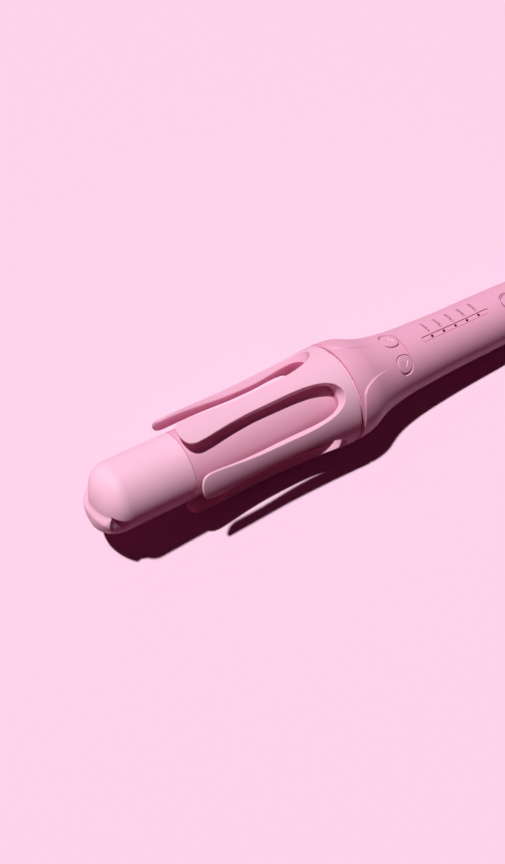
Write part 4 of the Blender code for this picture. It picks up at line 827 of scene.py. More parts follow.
def handle_inside(sizes, front_radius):
    """Outline of the front lip, the bulkhead's seat, the bore and the rear face, from front to rear."""
    lip = sizes.lip_round
    turn = np.linspace(0.0, math.pi / 2, 5)[1:]
    outline = list(zip(HANDLE_FRONT_X - lip + lip * np.sin(turn), front_radius - lip * (1 - np.cos(turn))))
    outline += [
        (HANDLE_FRONT_X, SEAT_RADIUS + HANDLE_CHAMFER), (HANDLE_FRONT_X - HANDLE_CHAMFER, SEAT_RADIUS),
        (HANDLE_FRONT_X - SEAT_LENGTH, SEAT_RADIUS), (HANDLE_FRONT_X - SEAT_LENGTH, SHOULDER_RADIUS),
    ]
    bore = np.linspace(HANDLE_FRONT_X - BORE_FRONT_SHARE * NECK_LENGTH, HANDLE_REAR_X, BORE_ROWS)
    outline += list(zip(bore, handle_radius(bore) - HANDLE_WALL))
    outline.append((HANDLE_REAR_X, float(handle_radius(HANDLE_REAR_X)) - HANDLE_CHAMFER))
    return outline


def make_handle_skin(sizes):
    """The handle as one closed skin: the outside's grid, then the lip and bore on the same columns."""
    x, radius, angle, columns = handle_outside(sizes)
    outside = around(x, radius, angle)
    outline = handle_inside(sizes, FRONT_RADIUS - sizes.tongue_sink)
    stations, radii = np.array(outline).T
    inside = around(stations[:, None], radii[:, None], columns[None, :])
    grids = [(np.concatenate([outside, inside]), True, True)]
    # Its finish's deeper pink is painted shade.
    make_piece("handle_skin", grids, look("satin_pink_grip_painted_shade"), "root", ["handle_shell"])


# Keys

def square_rings(steps):
    """A square grid of directions and shares out: rings of the square become rings of the key's outline."""
    side = np.linspace(-1.0, 1.0, 2 * steps + 1)
    u, v = np.meshgrid(side, side, indexing="ij")
    share = np.maximum(np.abs(u), np.abs(v))
    turn = np.arctan2(v, u)
    return share, turn


def stroke_distance(u, v, strokes):
    """Distance to the nearest of some straight strokes, each given by its two ends."""
    nearest = np.full(np.shape(u), 1.0)
    for (start_u, start_v), (end_u, end_v) in strokes:
        run_u = end_u - start_u
        run_v = end_v - start_v
        along = ((u - start_u) * run_u + (v - start_v) * run_v) / (run_u ** 2 + run_v ** 2)
        along = np.clip(along, 0.0, 1.0)
        nearest = np.minimum(nearest, np.hypot(u - start_u - along * run_u, v - start_v - along * run_v))
    return nearest


def key_grid(sizes, x, angle, half_length, half_width, power, mark):
    """A key's cap: an outline |u/a|^p + |v/b|^p = 1 bent to the handle, with a rounded edge, closed below.

    The top is the square's inner rings, the round and the side are more rings of the same directions. The
    underside is KEY_DRAFT smaller all round, so that a pressed cap clears the wall of its well.
    """
    share, turn = square_rings(KEY_RINGS)
    cosine = np.cos(turn)
    sine = np.sin(turn)
    reach = (np.abs(cosine) ** power + np.abs(sine) ** power) ** (-1 / power)
    surface = float(handle_radius(x))
    edge = KEY_ROUND / min(half_length, half_width)
    flat_u = reach * cosine * share
    flat_v = reach * sine * share
    inset = np.clip((share - (1 - edge)) / edge, 0.0, 1.0)
    drop = KEY_ROUND * (1 - np.sqrt(np.clip(1 - inset ** 2, 0.0, 1.0)))
    u = flat_u * half_length
    v = flat_v * half_width
    groove = sizes.mark_depth * (1 - smooth_step(mark(u, v) / sizes.mark_width))
    top = handle_radius(x + u) - sizes.pocket_depth + sizes.key_stand - drop - groove
    foot = 1.0 - KEY_DRAFT / min(half_length, half_width)
    low = handle_radius(x + u * foot) - sizes.pocket_depth - KEY_THICKNESS
    middle = math.radians(angle)
    cap = around(x + u, top, middle + v / surface)
    floor = around(x + u * foot, low, middle + v * foot / surface)
    rim_top = np.concatenate([cap[0], cap[1:, -1], cap[-1, -2::-1], cap[-2:0:-1, 0]])
    rim_low = np.concatenate([floor[0], floor[1:, -1], floor[-1, -2::-1], floor[-2:0:-1, 0]])
    side = np.stack([rim_top, rim_low])
    return [(cap, False, False), (floor, False, False), (side, False, True)]


def chevron(point):
    """An open arrow that points outwards, away from the top of the handle."""
    tip = (0.0, point * ARROW_RISE)
    strokes = [((side * ARROW_HALF_LENGTH, -point * ARROW_RISE), tip) for side in (-1, 1)]
    return lambda u, v: stroke_distance(u, v, strokes)


def power_mark(u, v):
    """A ring that is open towards the front, with a short stroke in the opening."""
    ring = np.abs(np.hypot(u, v) - POWER_RING_RADIUS)
    ring = np.where((u > 0) & (np.abs(v) < POWER_OPENING), 1.0, ring)
    start, end = POWER_STROKE
    return np.minimum(ring, stroke_distance(u, v, [((start, 0.0), (end, 0.0))]))


def make_keys(sizes):
    """The two turning keys, whose arrows point away from each other, and the round power key."""
    material = look("fine_pink_abs")
    outline = (KEY_HALF_LENGTH, KEY_HALF_WIDTH, KEY_POWER)
    for name, body, side in (("turn_left", "key_left", -1), ("turn_right", "key_right", 1)):
        grids = key_grid(sizes, KEY_X, side * KEY_ANGLE, *outline, chevron(side))
        make_piece(name + "_cap", grids, material, body, [name + "_button"])
    grids = key_grid(sizes, POWER_X, 0.0, POWER_RADIUS, POWER_RADIUS, 2.0, power_mark)
    make_piece("power_cap", grids, material, "key_power", ["power_button"])


# Number print

def make_number_print(sizes):
    """Plain numbers beside each light: flat letters laid on the skin, reading away from the lights."""
    corners = []
    faces = []
    for station, words in zip(light_x(), PRINT_PAIRS):
        curve = bpy.data.curves.new("words", "FONT")
        curve.body = words
        curve.size = sizes.print_height
        curve.offset = sizes.print_weight
        curve.resolution_u = LETTER_STEPS
        curve.align_y = "CENTER"
        holder = bpy.data.objects.new("words", curve)
        bpy.context.scene.collection.objects.link(holder)
        bpy.context.view_layer.update()
        graph = bpy.context.evaluated_depsgraph_get()
        flat = bpy.data.meshes.new_from_object(holder.evaluated_get(graph))
        spots = np.empty(len(flat.vertices) * 3, np.float32)
        flat.vertices.foreach_get("co", spots)
        spots = spots.reshape(-1, 3)
        x = station + spots[:, 1]
        radius = handle_radius(x) + sizes.print_lift
        across = (spots[:, 0] - spots[:, 0].min()) * sizes.print_width
        turn = math.radians(PRINT_START_ANGLE) - across / float(handle_radius(station))
        start = sum(len(word) for word in corners)
        corners.append(around(x, radius, turn))
        faces += [[start + corner for corner in polygon.vertices] for polygon in flat.polygons]
        bpy.data.objects.remove(holder)
        bpy.data.curves.remove(curve)
        bpy.data.meshes.remove(flat)
    mesh = bpy.data.meshes.new("number_print")
    mesh.from_pydata(np.concatenate(corners).tolist(), [], faces)
    shape = bmesh.new()
    shape.from_mesh(mesh)
    for face in shape.faces:
        face.normal_update()
    middle = Vector((0.0, 0.0, AXIS_Z))
    inward = [
        face for face in shape.faces
        if face.normal.yz.dot((face.calc_center_median() - middle).yz) < 0
    ]
    bmesh.ops.reverse_faces(shape, faces=inward)
    shape.to_mesh(mesh)
    shape.free()
    hang("number_print", mesh, look("pad_printed_ink"), "root", ())


# Claw cage

def cage_radius(along):
    """Outer radius of the collar and claws at a distance in front of the collar's rear edge."""
    shares, values = zip(*CAGE_SHARES)
    return CLAW_RADIUS + (COLLAR_RADIUS - CLAW_RADIUS) * read_curve(shares, values, along / CAGE_LENGTH)


def claw_edge():
    """One edge of a claw, from the middle of a window's root to the claw's tip, in rows closer at the ends.

    Each row has its distance along, its half width at the claw's radius, and the direction into the claw,
    which is square to the edge's own run.
    """
    length = CAGE_LENGTH - WINDOW_ROOT
    half = math.radians(180.0 / CLAW_COUNT) * CLAW_RADIUS
    along = np.array([0.0] + [share * length for share, value in WINDOW_SHARES] + [length]) + WINDOW_ROOT
    width = half * np.array([1.0] + [1.0 - value for share, value in WINDOW_SHARES] + [0.0])
    path = np.concatenate([[0.0], np.cumsum(np.hypot(np.diff(along), np.diff(width)))])
    total = path[-1]
    whole = np.concatenate([[-path[1]], path, [2 * total - path[-2]]])
    along = np.concatenate([[along[1]], along, [along[-2]]])
    width = np.concatenate([[2 * width[0] - width[1]], width, [-width[-2]]])
    stretches = [(ROOT_REACH, ROOT_STEP), (total - CLAW_TIP_REACH, CLAW_STEP), (total, CLAW_TIP_STEP)]
    rows = places_between(0.0, stretches)
    tiny = 0.2 * MILLI
    run = read_curve(whole, along, rows + tiny) - read_curve(whole, along, rows - tiny)
    fall = read_curve(whole, width, rows + tiny) - read_curve(whole, width, rows - tiny)
    steep = np.hypot(run, fall)
    return read_curve(whole, along, rows), read_curve(whole, width, rows), fall / steep, -run / steep


def claw_grid(sizes, middle):
    """One claw with its share of the collar, as a closed loop of columns at each row of the claw's edge.

    A loop runs over the outer face, round the edge, down the wall, and back under the inner face. Near the
    window's root the wall slopes forward, and the inner face turns into the cage's front wall.
    """
    along, width, into_x, into_arc = (values[:, None] for values in claw_edge())
    size = sizes.claw_round
    share = np.sin(np.linspace(-0.5, 0.5, FACE_POINTS) * math.pi)[None, :]
    turn = np.linspace(0.0, math.pi / 2, ROUND_POINTS)[None, :]
    inside_x = read_curve(ROOT_OUTSIDE, ROOT_INSIDE, along)
    inside_x = np.where(along > ROOT_OUTSIDE[-1], along, inside_x)
    shares, depths = zip(*CLAW_DEPTHS)
    inside_radius = read_curve(ROOT_OUTSIDE, ROOT_RADIUS, along)
    deep = cage_radius(along) - read_curve(shares, depths, along / CAGE_LENGTH)
    inside_radius = np.where(along > ROOT_OUTSIDE[-1], deep, inside_radius)
    under = sizes.claw_under * smooth_step((along - WALL_FRONT) / UNDER_RUN)
    face_x = along + size * into_x
    face_arc = width + size * into_arc
    outer = (face_x + 0 * share, cage_radius(face_x) + 0 * share, face_arc * share)
    round_x = along + size * (1 - np.sin(turn)) * into_x
    round_arc = width + size * (1 - np.sin(turn)) * into_arc
    round_radius = cage_radius(round_x) - size * (1 - np.cos(turn))
    rounding = (round_x, round_radius, round_arc)
    step = np.array([WALL_SHARES])
    top = cage_radius(along) - size
    wall_x = along + (inside_x - along) * step
    wall_radius = top + (inside_radius + under - top) * step
    wall = (wall_x, wall_radius, width + 0 * step)
    low_x = inside_x + under * (1 - np.cos(turn)) * into_x
    low_arc = width + under * (1 - np.cos(turn)) * into_arc
    low_radius = inside_radius + under * (1 - np.sin(turn))
    lower = (low_x, low_radius, low_arc)
    inner_x = inside_x + under * into_x
    inner_arc = width + under * into_arc
    inner = (inner_x + 0 * share, inside_radius + 0 * share, -inner_arc * share)

    def flipped(part):
        """The same columns on the claw's other edge, in the opposite order."""
        return part[0][:, ::-1], part[1][:, ::-1], -part[2][:, ::-1]

    def without_ends(part, start, end):
        """The columns without some at the start and at the end, which the next part already has."""
        stop = part[0].shape[1] - end
        return tuple(values[:, start:stop] for values in part)

    parts = [outer, without_ends(rounding, 1, 0), wall, without_ends(lower, 0, 1), inner]
    parts += [flipped(without_ends(lower, 0, 1)), flipped(wall), flipped(without_ends(rounding, 1, 0))]
    x, radius, arc = (np.concatenate([part[place] for part in parts], axis=1) for place in range(3))
    bend = math.radians(middle) + arc / CLAW_RADIUS
    claw = around(COLLAR_X + x, radius, bend)
    outline = [(0.0, COLLAR_RADIUS - sizes.collar_round)]
    outline += corner_arc(0.0, COLLAR_RADIUS, -1, 1, sizes.collar_round)[::-1]
    start = sizes.collar_round
    ahead = np.linspace(start, WINDOW_ROOT - size, 6)[1:]
    outline += list(zip(ahead, cage_radius(ahead)))
    back = [(WALL_FRONT, ROOT_RADIUS[0]), (WALL_FRONT, BARREL_RADIUS), (WALL_FRONT, BUSH_RADIUS)]
    back += [(WALL_REAR, BUSH_RADIUS), (WALL_REAR, COLLAR_BORE_RADIUS), (BORE_CHAMFER, COLLAR_BORE_RADIUS)]
    back += [(0.0, COLLAR_BORE_RADIUS + BORE_CHAMFER), (0.0, COLLAR_RADIUS - sizes.collar_round)]
    half = math.radians(180.0 / CLAW_COUNT)
    grids = [(claw, False, True)]
    for line in (outline, back):
        stations, radii = np.array(line).T
        collar = around(COLLAR_X + stations[:, None], radii[:, None], math.radians(middle) + half * share)
        grids.append((collar, False, False))
    return grids


def make_claw_cage(sizes):
    """The collar and its claws: one claw's grids repeated at even angles round the axis."""
    grids = []
    for number in range(CLAW_COUNT):
        grids += claw_grid(sizes, CLAW_PHASE + 360.0 / CLAW_COUNT * number)
    make_piece("claw_cage_skin", grids, look("satin_pink_abs"), "cage", ["claw_cage"])


# Barrel and cool tip

def petal_inset(angle, plus, minus, sizes):
    """How far the skin lies under the full barrel at an angle from +Z, by the shares of both sides.

    On each side one petal ends with a rounded lip and the other starts a step below it and rises smoothly.
    """
    lip = sizes.petal_round
    inset = 0.0
    for part, ahead in ((plus, angle - PETAL_EDGE_ANGLE), (minus, 180.0 - angle - PETAL_EDGE_ANGLE)):
        short = np.clip(1.0 + np.radians(ahead) * BARREL_RADIUS / lip, 0.0, 1.0)
        edge = lip * (1.0 - np.sqrt(1.0 - short ** 2 * PETAL_LIP_SHARE))
        rise = sizes.petal_step * (1.0 - smooth_step(ahead / PETAL_RISE_ANGLE))
        inset = inset + part * np.where(ahead < 0.0, edge, rise)
    return inset


def petal_angles():
    """Angles from +Z to -Z: close together at both petals' edges, and twice, a hair apart, at the step."""
    stretches = [(PETAL_EDGE_ANGLE + past, step) for past, step in UPPER_EDGE_COLUMNS]
    stretches += [(180.0 - PETAL_EDGE_ANGLE + past, step) for past, step in LOWER_EDGE_COLUMNS]
    return places_between(0.0, [*stretches, (180.0, LAST_COLUMN_STEP)])


def barrel_outline(sizes, inset):
    """The barrel's section as radii and angles once round: down the +Y side and back up the -Y side."""
    angles = petal_angles()
    plus = BARREL_RADIUS - inset - petal_inset(angles, 1.0, 0.0, sizes)
    minus = BARREL_RADIUS - inset - petal_inset(angles, 0.0, 1.0, sizes)
    radii = np.concatenate([plus, minus[-2:0:-1]])
    turns = np.radians(np.concatenate([angles, -angles[-2:0:-1]]))
    return radii, turns


def make_barrel(sizes):
    """The petal section carried along the axis, outside and inside, with eased ends."""
    rows = []
    ease = SEAM_ROUND
    stations = [
        (BARREL_REAR_X, ease), (BARREL_REAR_X + ease, 0.0),
        (BARREL_FRONT_X - ease, 0.0), (BARREL_FRONT_X, ease),
        (BARREL_FRONT_X, BARREL_WALL), (BARREL_REAR_X, BARREL_WALL),
    ]
    for x, inset in stations:
        radii, turns = barrel_outline(sizes, inset)
        rows.append(around(x, radii, turns))
    grids = [(np.stack(rows), True, True)]
    make_piece("barrel_skin", grids, look("pink_ceramic_lacquer"), "root", ["barrel_shell"])


def rounded(value, power, length):
    """Height over a value from -1 to 1 of a curve that ends square to it: (1 - value^power)^(1/power)."""
    return length * np.clip(1.0 - np.abs(value) ** power, 0.0, 1.0) ** (1.0 / power)


def tip_dome(sizes):
    """Points of the tip's skin in front of its seam: a row for each angle of the section, a column a side.

    The petals meet at one row of the grid, whose height falls from the +Y lip to the -Y lip across the end.
    Each dome is a rounded curve of the side times one of the height, and the lower one stands out furthest
    a little to the +Y side. Beside the ledge's corner the lower petal sinks under the lip of the upper one.
    """
    side = np.cos(np.radians(places_between(0.0, TIP_COLUMNS)))[None, :]
    lip_height = math.cos(math.radians(PETAL_EDGE_ANGLE))
    meet = np.degrees(np.arccos(lip_height * np.clip(side / CORNER_SIDE, -1.0, 1.0)))
    angles = petal_angles()[:, None]
    above = angles < PETAL_EDGE_ANGLE
    upper = meet * angles / PETAL_EDGE_ANGLE
    lower = 180.0 - (180.0 - meet) * (180.0 - angles) / (180.0 - PETAL_EDGE_ANGLE)
    row = np.where(above, upper, lower)
    past = np.where(above, 0.0, row - meet)
    corner_side = CORNER_SIDE + CORNER_LEAN * np.clip(past / CORNER_LEAN_ANGLE, 0.0, 1.0)
    corner = smooth_step((side - corner_side) / CORNER_FADE + 0.5)
    back = smooth_step((BACK_SIDE - side) / BACK_FADE)
    recess = corner * (1.0 - smooth_step(past / PETAL_RISE_ANGLE))
    scale = 1.0 - petal_inset(row, corner, back, sizes) / BARREL_RADIUS
    height = np.cos(np.radians(row))
    across = scale * np.sin(np.radians(row))
    short = across * rounded(side, UPPER_POWER, TIP_DOME - LEDGE_WIDTH)
    aside = side - LOWER_SKEW
    aside = aside / (1.0 - LOWER_SKEW * np.sign(aside))
    long = rounded(height, LOWER_HEIGHT_POWER, 1.0) * rounded(aside, LOWER_POWER, TIP_DOME)
    ledge = short + (long - short) * smooth_step(past / LEDGE_ANGLE)
    dome = np.where(above, short, ledge + (short * (1.0 - RECESS_SHARE) - ledge) * recess)
    x = TIP_REAR_X + TIP_LENGTH - TIP_DOME + dome
    y = BARREL_RADIUS * across * side
    z = AXIS_Z + BARREL_RADIUS * scale * height
    return np.stack([x, y, z], axis=-1)


def make_cool_tip(sizes):
    """The tip's domes, with both their end columns carried back to the seam, where the edge is eased."""
    dome = tip_dome(sizes)
    shrink = 1.0 - SEAM_ROUND / BARREL_RADIUS
    ends = []
    for edge in (dome[:, :1], dome[:, -1:]):
        near = edge.copy()
        near[..., 0] = TIP_REAR_X + SEAM_ROUND
        far = edge.copy()
        far[..., 0] = TIP_REAR_X
        far[..., 1] *= shrink
        far[..., 2] = AXIS_Z + (far[..., 2] - AXIS_Z) * shrink
        ends.append((near, far))
    points = np.concatenate([ends[0][1], ends[0][0], dome, ends[1][0], ends[1][1]], axis=1)
    grids = [(points, False, True)]
    make_piece("cool_tip_skin", grids, look("satin_pink_abs"), "root", ["cool_tip"])


# End cap, gland and screws

def sink_distance(y, z):
    """Distance outwards from the rim of the nearer of the cap's two screw holes."""
    return np.hypot(np.abs(y) - CAP_SCREW_OFFSET, z) - CAP_SINK_RADIUS


def make_end_cap():
    """The rounded rear cap: a rear face of rings, sunk at two screws, and a turned outline for the rest."""
    columns = np.radians(places_between(0.0, [(360.0, CAP_ANGLE_STEP)])[:-1])
    radii = places_between(CAP_SEAT_RADIUS, [(CAP_REAR_RADIUS - CAP_RIM, CAP_STEP)])
    radius, angle = np.meshgrid(radii, columns, indexing="ij")
    y = radius * np.sin(angle)
    z = radius * np.cos(angle)
    y, z = settle(y, z, sink_distance, (0.0, -WALL_RUN), CAP_NEAR)
    sunk = pocket(sink_distance(y, z), CAP_SINK_DEPTH)
    rear = np.stack([CAP_REAR_X + sunk, y, AXIS_Z + z], axis=-1)
    depth = CAP_ROUND_SHARE * CAP_LENGTH
    bulge = GRIP_REAR_RADIUS - CAP_REAR_RADIUS
    turn = np.linspace(0.0, math.pi / 2, CAP_ROUND_POINTS)[1:]
    outline = list(zip(CAP_REAR_X + depth * (1 - np.cos(turn)), CAP_REAR_RADIUS + bulge * np.sin(turn)))
    seam_x = CAP_REAR_X + CAP_LENGTH
    front_x = CAP_REAR_X + SPIGOT_REACH
    floor_x = CAP_REAR_X + CAP_FLOOR
    seat_x = CAP_REAR_X + CAP_SEAT_DEPTH
    spigot = GRIP_REAR_RADIUS - HANDLE_WALL - SPIGOT_GAP
    hollow = spigot - CAP_WALL
    outline += [(seam_x - CAP_LIP, GRIP_REAR_RADIUS), (seam_x, GRIP_REAR_RADIUS - CAP_LIP)]
    outline += [(seam_x, spigot), (front_x, spigot), (front_x, hollow), (floor_x, hollow)]
    outline += [(floor_x, CAP_BORE_RADIUS), (seat_x, CAP_BORE_RADIUS), (seat_x, CAP_SEAT_RADIUS)]
    stations, widths = np.array(outline).T
    rest = around(stations[:, None], widths[:, None], columns[None, :])
    grids = [(np.concatenate([rear, rest]), True, True)]
    # The cap takes the grip's deeper pink, painted shade as on the handle.
    make_piece("end_cap_skin", grids, look("satin_pink_grip_painted_shade"), "root", ["end_cap"])


def make_gland():
    """The turning gland of the cord: a flanged tube with a groove for its clip and a rounded mouth."""
    rear = GLAND_REAR_X
    flange = rear + GLAND_FLANGE
    start, end = (rear + place for place in GLAND_GROOVE)
    low = GLAND_NECK_RADIUS - GLAND_GROOVE_DEPTH
    outline = corner_arc(rear, GLAND_RADIUS, -1, 1, GLAND_ROUND)[::-1]
    outline += [(flange, GLAND_RADIUS), (flange, GLAND_NECK_RADIUS)]
    outline += [(start, GLAND_NECK_RADIUS), (start, low), (end, low), (end, GLAND_NECK_RADIUS)]
    outline += [(GLAND_FRONT_X, GLAND_NECK_RADIUS), (GLAND_FRONT_X, GLAND_BORE_RADIUS)]
    turn = np.linspace(math.pi / 2, 0.0, 6)
    mouth = GLAND_BORE_RADIUS + GLAND_MOUTH * (1 - np.sin(turn))
    outline += list(zip(rear + GLAND_MOUTH * (1 - np.cos(turn)), mouth))
    grids = [(turned(outline, GLAND_COLUMNS), True, True)]
    make_piece("gland_skin", grids, look("soft_pink_pvc"), "cord_swivel", ["cord_gland"])


# Finishes of the frame's own pieces

FINISHES = {
    "satin_pink_abs": ("bulkhead",),
    "smoked_polycarbonate": ("light_guide",),
    "natural_nylon": ("ring_gear", "idler_gear", "pinion", "chassis", "cage_bush"),
    "heat_proof_resin": ("barrel_base", "tip_insulator"),
    "fired_ceramic": ("ptc_heater",),
    "milled_aluminium": (
        "heat_spreader_upper", "heat_spreader_lower", "thermal_fuse", "smoothing_capacitor",
    ),
    "turned_brass": ("gearbox",),
    "lacquered_board": ("control_board", "power_board"),
    "black_moulding": ("thermistor", "controller_chip", "transformer", "tact_switch"),
    "zinc_plated_steel": (
        "motor", "drive_shaft", "idler_pin", "spindle_tube", "retaining_clip", "gland_clip", "tip_screw",
        "bulkhead_screw", "end_cap_screw", "ring_gear_screw",
    ),
    "water_clear_epoxy": ("indicator_led",),
}


def finish_frame():
    """Gives each CAD piece that stays its real finish, found by the start of its name."""
    for finish, starts in FINISHES.items():
        for name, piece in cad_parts.items():
            if name.startswith(starts):
                piece.data.materials.clear()
                piece.data.materials.append(look(finish))


# Stage

def make_floor(colour, bounce):
    """A plain paper floor that the collar and the handle's end both rest on, so it slopes a little.

    The camera and mirrors see its pale colour. The light that it throws back on the tool is a deeper one.
    """
    # Uncoated paper, pressed from pulp: the eye gets an even ground without gloss, whose tone is barely
    # uneven. Its fibres of 0.1 mm are drawn coarser, at 0.8 mm.
    made, tree, place = blank("matt_paper_floor")
    fibre = add(tree, "ShaderNodeTexNoise", {"Scale": 1 / (0.8 * MILLI), "Detail": 3.0}, {"Vector": place})
    shade = tuple(channel * 0.995 for channel in colour)
    tint = add(
        tree, "ShaderNodeMix", {"data_type": "RGBA", 6: (*shade, 1.0), 7: (*colour, 1.0)},
        {0: fibre.outputs["Fac"]},
    )
    path = tree.nodes.new("ShaderNodeLightPath")
    seen = path.outputs["Is Camera Ray"]
    for ray in ("Is Glossy Ray", "Is Transmission Ray"):
        either = add(tree, "ShaderNodeMath", {"operation": "MAXIMUM"}, {0: seen, 1: path.outputs[ray]})
        seen = either.outputs[0]
    shown = add(
        tree, "ShaderNodeMix", {"data_type": "RGBA", 6: (*bounce, 1.0)}, {0: seen, 7: tint.outputs[2]},
    )
    shader = add(
        tree, "ShaderNodeBsdfPrincipled", {"Roughness": 0.95, "Specular IOR Level": 0.1},
        {"Base Color": shown.outputs[2]},
    )
    add(tree, "ShaderNodeOutputMaterial", {}, {"Surface": shader.outputs[0]})
    side = np.linspace(-FLOOR_SIZE / 2, FLOOR_SIZE / 2, FLOOR_ROWS)
    x, y = np.meshgrid(side, side, indexing="ij")
    points = np.stack([x, y, FLOOR_SLOPE * (x - COLLAR_X)], axis=-1)
    mesh = bpy.data.meshes.new("floor")
    faces = grid_faces(FLOOR_ROWS, FLOOR_ROWS, False, False)
    mesh.from_pydata(points.reshape(-1, 3).tolist(), [], faces.tolist())
    mesh.materials.append(made)
    floor = bpy.data.objects.new("floor", mesh)
    bpy.context.scene.collection.objects.link(floor)
    return floor


def make_world(colour, strength, backdrop):
    """A plain room: even fill light, and a pale backdrop that the camera sees, also through clear pieces.

    The gloss of a piece sees the fill light and not the backdrop.
    """
    scene = bpy.context.scene
    world = bpy.data.worlds.new("plain_room")
    world.use_nodes = True
    tree = world.node_tree
    tree.nodes.clear()
    path = tree.nodes.new("ShaderNodeLightPath")
    seen = add(
        tree, "ShaderNodeMath", {"operation": "MAXIMUM"},
        {0: path.outputs["Is Camera Ray"], 1: path.outputs["Is Transmission Ray"]},
    )
    fill = add(tree, "ShaderNodeBackground", {"Color": (*colour, 1.0), "Strength": strength}, {})
    back = add(tree, "ShaderNodeBackground", {"Color": (*backdrop, 1.0), "Strength": 1.0}, {})
    both = add(
        tree, "ShaderNodeMixShader", {}, {0: seen.outputs[0], 1: fill.outputs[0], 2: back.outputs[0]},
    )
    add(tree, "ShaderNodeOutputWorld", {}, {"Surface": both.outputs[0]})
    scene.world = world


def make_lamp(name, direction, strength, angle, pieces, state):
    """A wide even lamp that lights only the given pieces, or all but them when the state is EXCLUDE."""
    light = bpy.data.lights.new(name, "SUN")
    light.energy = strength
    light.angle = angle
    lamp = bpy.data.objects.new(name, light)
    lamp.rotation_euler = Vector(direction).to_track_quat("Z", "Y").to_euler()
    bpy.context.scene.collection.objects.link(lamp)
    lit = bpy.data.collections.new(name)
    for piece in pieces:
        lit.objects.link(piece)
    for entry in lit.collection_objects:
        entry.light_linking.link_state = state
    lamp.light_linking.receiver_collection = lit


def make_camera():
    """The photograph's camera: its place, its turn in degrees and its lens, as solved from the outline."""
    lens = bpy.data.cameras.new("camera")
    lens.lens = CAMERA_LENS
    lens.sensor_width = CAMERA_SENSOR
    lens.clip_end = 20.0
    camera = bpy.data.objects.new("camera", lens)
    camera.location = CAMERA_PLACE
    camera.rotation_euler = Euler([math.radians(turn) for turn in CAMERA_TURN], "XYZ")
    bpy.context.scene.collection.objects.link(camera)
    bpy.context.scene.camera = camera


# Add-on

def small_size(name, text, default):
    """A length in metres that the panel shows."""
    return FloatProperty(name=name, description=text, default=default, min=0.0, unit="LENGTH", precision=5)


def paint_colour(name, text, code):
    """A colour that the panel shows, given as sRGB hex."""
    return FloatVectorProperty(
        name=name, description=text, default=linear(code), subtype="COLOR", size=3, min=0.0, max=1.0,
    )


class CurlerSizes(bpy.types.PropertyGroup):
    """Small sizes of the finish that a user would change."""
    lip_round: small_size("Front lip", "Radius of the handle's front edge", 0.0003)
    pocket_depth: small_size("Key pocket", "Depth of the pockets around the keys", 0.0007)
    light_bar_depth: small_size("Light bar", "Depth of the bar that the lights lie in", 0.0004)
    seam_depth: small_size("Seam depth", "Depth of the seam just inside the pockets and the bar", 0.0007)
    key_stand: small_size("Key stand", "How far a key's top stands above its pocket's floor", 0.0005)
    mark_depth: small_size("Mark depth", "Depth of the marks cut into the keys", 0.00035)
    mark_width: small_size("Mark width", "Half width of a mark's groove", 0.00040)
    tongue_step: small_size("Tongue step", "Height of the crease beside the tongue", 0.0008)
    tongue_sink: small_size("Tongue sink", "How far the tongue lies below the neck's profile", 0.0008)
    print_height: small_size("Print height", "Size of the printed numbers", 0.0024)
    print_weight: small_size("Print weight", "How much the printed strokes are thickened", 0.00004)
    print_lift: small_size("Print lift", "How far the ink stands off the skin", 0.00003)
    claw_round: small_size("Claw edge", "Radius of a claw's outer edges", 0.0005)
    claw_under: small_size("Claw underside", "Radius of a claw's inner edges", 0.0011)
    collar_round: small_size("Collar edge", "Radius of the collar's rear edge", 0.0003)
    petal_round: small_size("Petal lip", "Radius of a petal's lip", 0.0005)
    petal_step: small_size("Petal step", "How far one petal stands above the other", 0.0026)
    print_width: FloatProperty(
        name="Print width", description="Stretch of the numbers", default=1.0, min=0.1,
    )


class CurlerColours(bpy.types.PropertyGroup):
    """Colours of the finish."""
    shell: paint_colour("Shell", "Claw cage and cool tip", "FDC3DC")
    # The grip's colour is the shell's pink made deeper: painted shade on the handle, keys and end cap
    grip: paint_colour("Grip", "Handle, keys and end cap", "F6B0CD")
    barrel: paint_colour("Barrel", "Lacquer of the heated barrel", "F6B4CF")
    ink: paint_colour("Ink", "Printed numbers", "6E2E48")
    floor: paint_colour("Floor", "Paper that the tool lies on", "FFD5ED")
    room: paint_colour("Room", "Light from the room", "FF76BB")
    bounce: paint_colour("Bounce", "Light that the paper throws back", "70133F")


class CurlerLight(bpy.types.PropertyGroup):
    """Light on the stage."""
    sun: FloatProperty(name="Sun", description="Strength of the key light", default=3.3, min=0.0)
    sun_angle: FloatProperty(
        name="Softness", description="Width of the key light in the sky", default=math.radians(2.0),
        min=0.0, subtype="ANGLE",
    )
    fill: FloatProperty(name="Fill", description="Strength of the room's light", default=0.026, min=0.0)
    front: FloatProperty(
        name="Front", description="Strength of the light on the tip's end", default=0.6, min=0.0,
    )


class CURLER_OT_handle(bpy.types.Operator):
    """Make the handle's skin with its pockets and crease"""
    bl_idname = "curler.handle"
    bl_label = "Handle"

    def execute(self, context):
        make_handle_skin(context.scene.curler_sizes)
        return {"FINISHED"}


class CURLER_OT_keys(bpy.types.Operator):
    """Make the two turning keys and the power key"""
    bl_idname = "curler.keys"
    bl_label = "Keys"

    def execute(self, context):
        make_keys(context.scene.curler_sizes)
        return {"FINISHED"}


class CURLER_OT_numbers(bpy.types.Operator):
    """Print the numbers beside the lights"""
    bl_idname = "curler.numbers"
    bl_label = "Numbers"

    def execute(self, context):
        make_number_print(context.scene.curler_sizes)
        return {"FINISHED"}


class CURLER_OT_claws(bpy.types.Operator):
    """Make the turning collar with its five claws"""
    bl_idname = "curler.claws"
    bl_label = "Claw cage"

    def execute(self, context):
        make_claw_cage(context.scene.curler_sizes)
        return {"FINISHED"}


class CURLER_OT_barrel(bpy.types.Operator):
    """Make the heated barrel and the cool tip"""
    bl_idname = "curler.barrel"
    bl_label = "Barrel and tip"

    def execute(self, context):
        make_barrel(context.scene.curler_sizes)
        make_cool_tip(context.scene.curler_sizes)
        return {"FINISHED"}


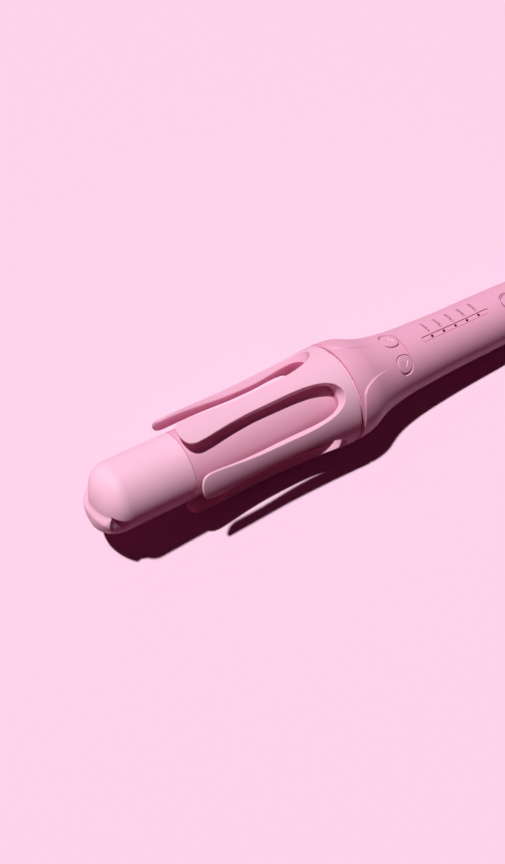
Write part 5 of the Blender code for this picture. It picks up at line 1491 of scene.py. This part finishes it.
class CURLER_OT_rear(bpy.types.Operator):
    """Make the end cap and the cord's gland"""
    bl_idname = "curler.rear"
    bl_label = "Rear end"

    def execute(self, context):
        make_end_cap()
        make_gland()
        return {"FINISHED"}


class CURLER_OT_inside(bpy.types.Operator):
    """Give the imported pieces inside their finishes"""
    bl_idname = "curler.inside"
    bl_label = "Inner pieces"

    def execute(self, context):
        finish_frame()
        return {"FINISHED"}


class CURLER_OT_stage(bpy.types.Operator):
    """Make the floor, the light and the camera"""
    bl_idname = "curler.stage"
    bl_label = "Stage"

    def execute(self, context):
        scene = context.scene
        scene.view_settings.view_transform = "Standard"
        colours = scene.curler_colours
        light = scene.curler_light
        floor = make_floor(tuple(colours.floor), tuple(colours.bounce))
        make_world(tuple(colours.room), light.fill, tuple(colours.floor))
        make_lamp("floor_lamp", FLOOR_LIGHT, light.sun, light.sun_angle, [floor], "INCLUDE")
        make_lamp("key_lamp", KEY_LIGHT, light.sun, light.sun_angle, [floor], "EXCLUDE")
        tip = bpy.data.objects["cool_tip_skin"]
        front_angle = FRONT_SOFTNESS * light.sun_angle
        make_lamp("front_lamp", FRONT_LIGHT, light.front, front_angle, [tip], "INCLUDE")
        make_camera()
        return {"FINISHED"}


class CURLER_PT_panel(bpy.types.Panel):
    """Lists the pieces of the hair curler and their sizes and colours"""
    bl_idname = "CURLER_PT_panel"
    bl_label = "Hair curler"
    bl_space_type = "VIEW_3D"
    bl_region_type = "UI"
    bl_category = "Hair curler"

    def draw(self, context):
        for group in (context.scene.curler_sizes, context.scene.curler_colours, context.scene.curler_light):
            for name in group.__annotations__:
                self.layout.prop(group, name)
        for operator in OPERATORS:
            self.layout.operator(operator.bl_idname)


GROUPS = {"curler_sizes": CurlerSizes, "curler_colours": CurlerColours, "curler_light": CurlerLight}
OPERATORS = (
    CURLER_OT_handle, CURLER_OT_keys, CURLER_OT_numbers, CURLER_OT_claws, CURLER_OT_barrel, CURLER_OT_rear,
    CURLER_OT_inside, CURLER_OT_stage,
)


def register():
    """Adds the panel, the operators and the groups of settings to Blender."""
    for kind in (*GROUPS.values(), *OPERATORS, CURLER_PT_panel):
        bpy.utils.register_class(kind)
    for name, kind in GROUPS.items():
        setattr(bpy.types.Scene, name, PointerProperty(type=kind))


def unregister():
    """Takes out again what register added."""
    for name in GROUPS:
        delattr(bpy.types.Scene, name)
    for kind in reversed((*GROUPS.values(), *OPERATORS, CURLER_PT_panel)):
        bpy.utils.unregister_class(kind)


def main():
    """Makes the pieces and the stage in order."""
    register()
    bpy.ops.curler.handle()
    bpy.ops.curler.keys()
    bpy.ops.curler.numbers()
    bpy.ops.curler.claws()
    bpy.ops.curler.barrel()
    bpy.ops.curler.rear()
    bpy.ops.curler.inside()
    bpy.ops.curler.stage()


if __name__ == "__main__":
    main()
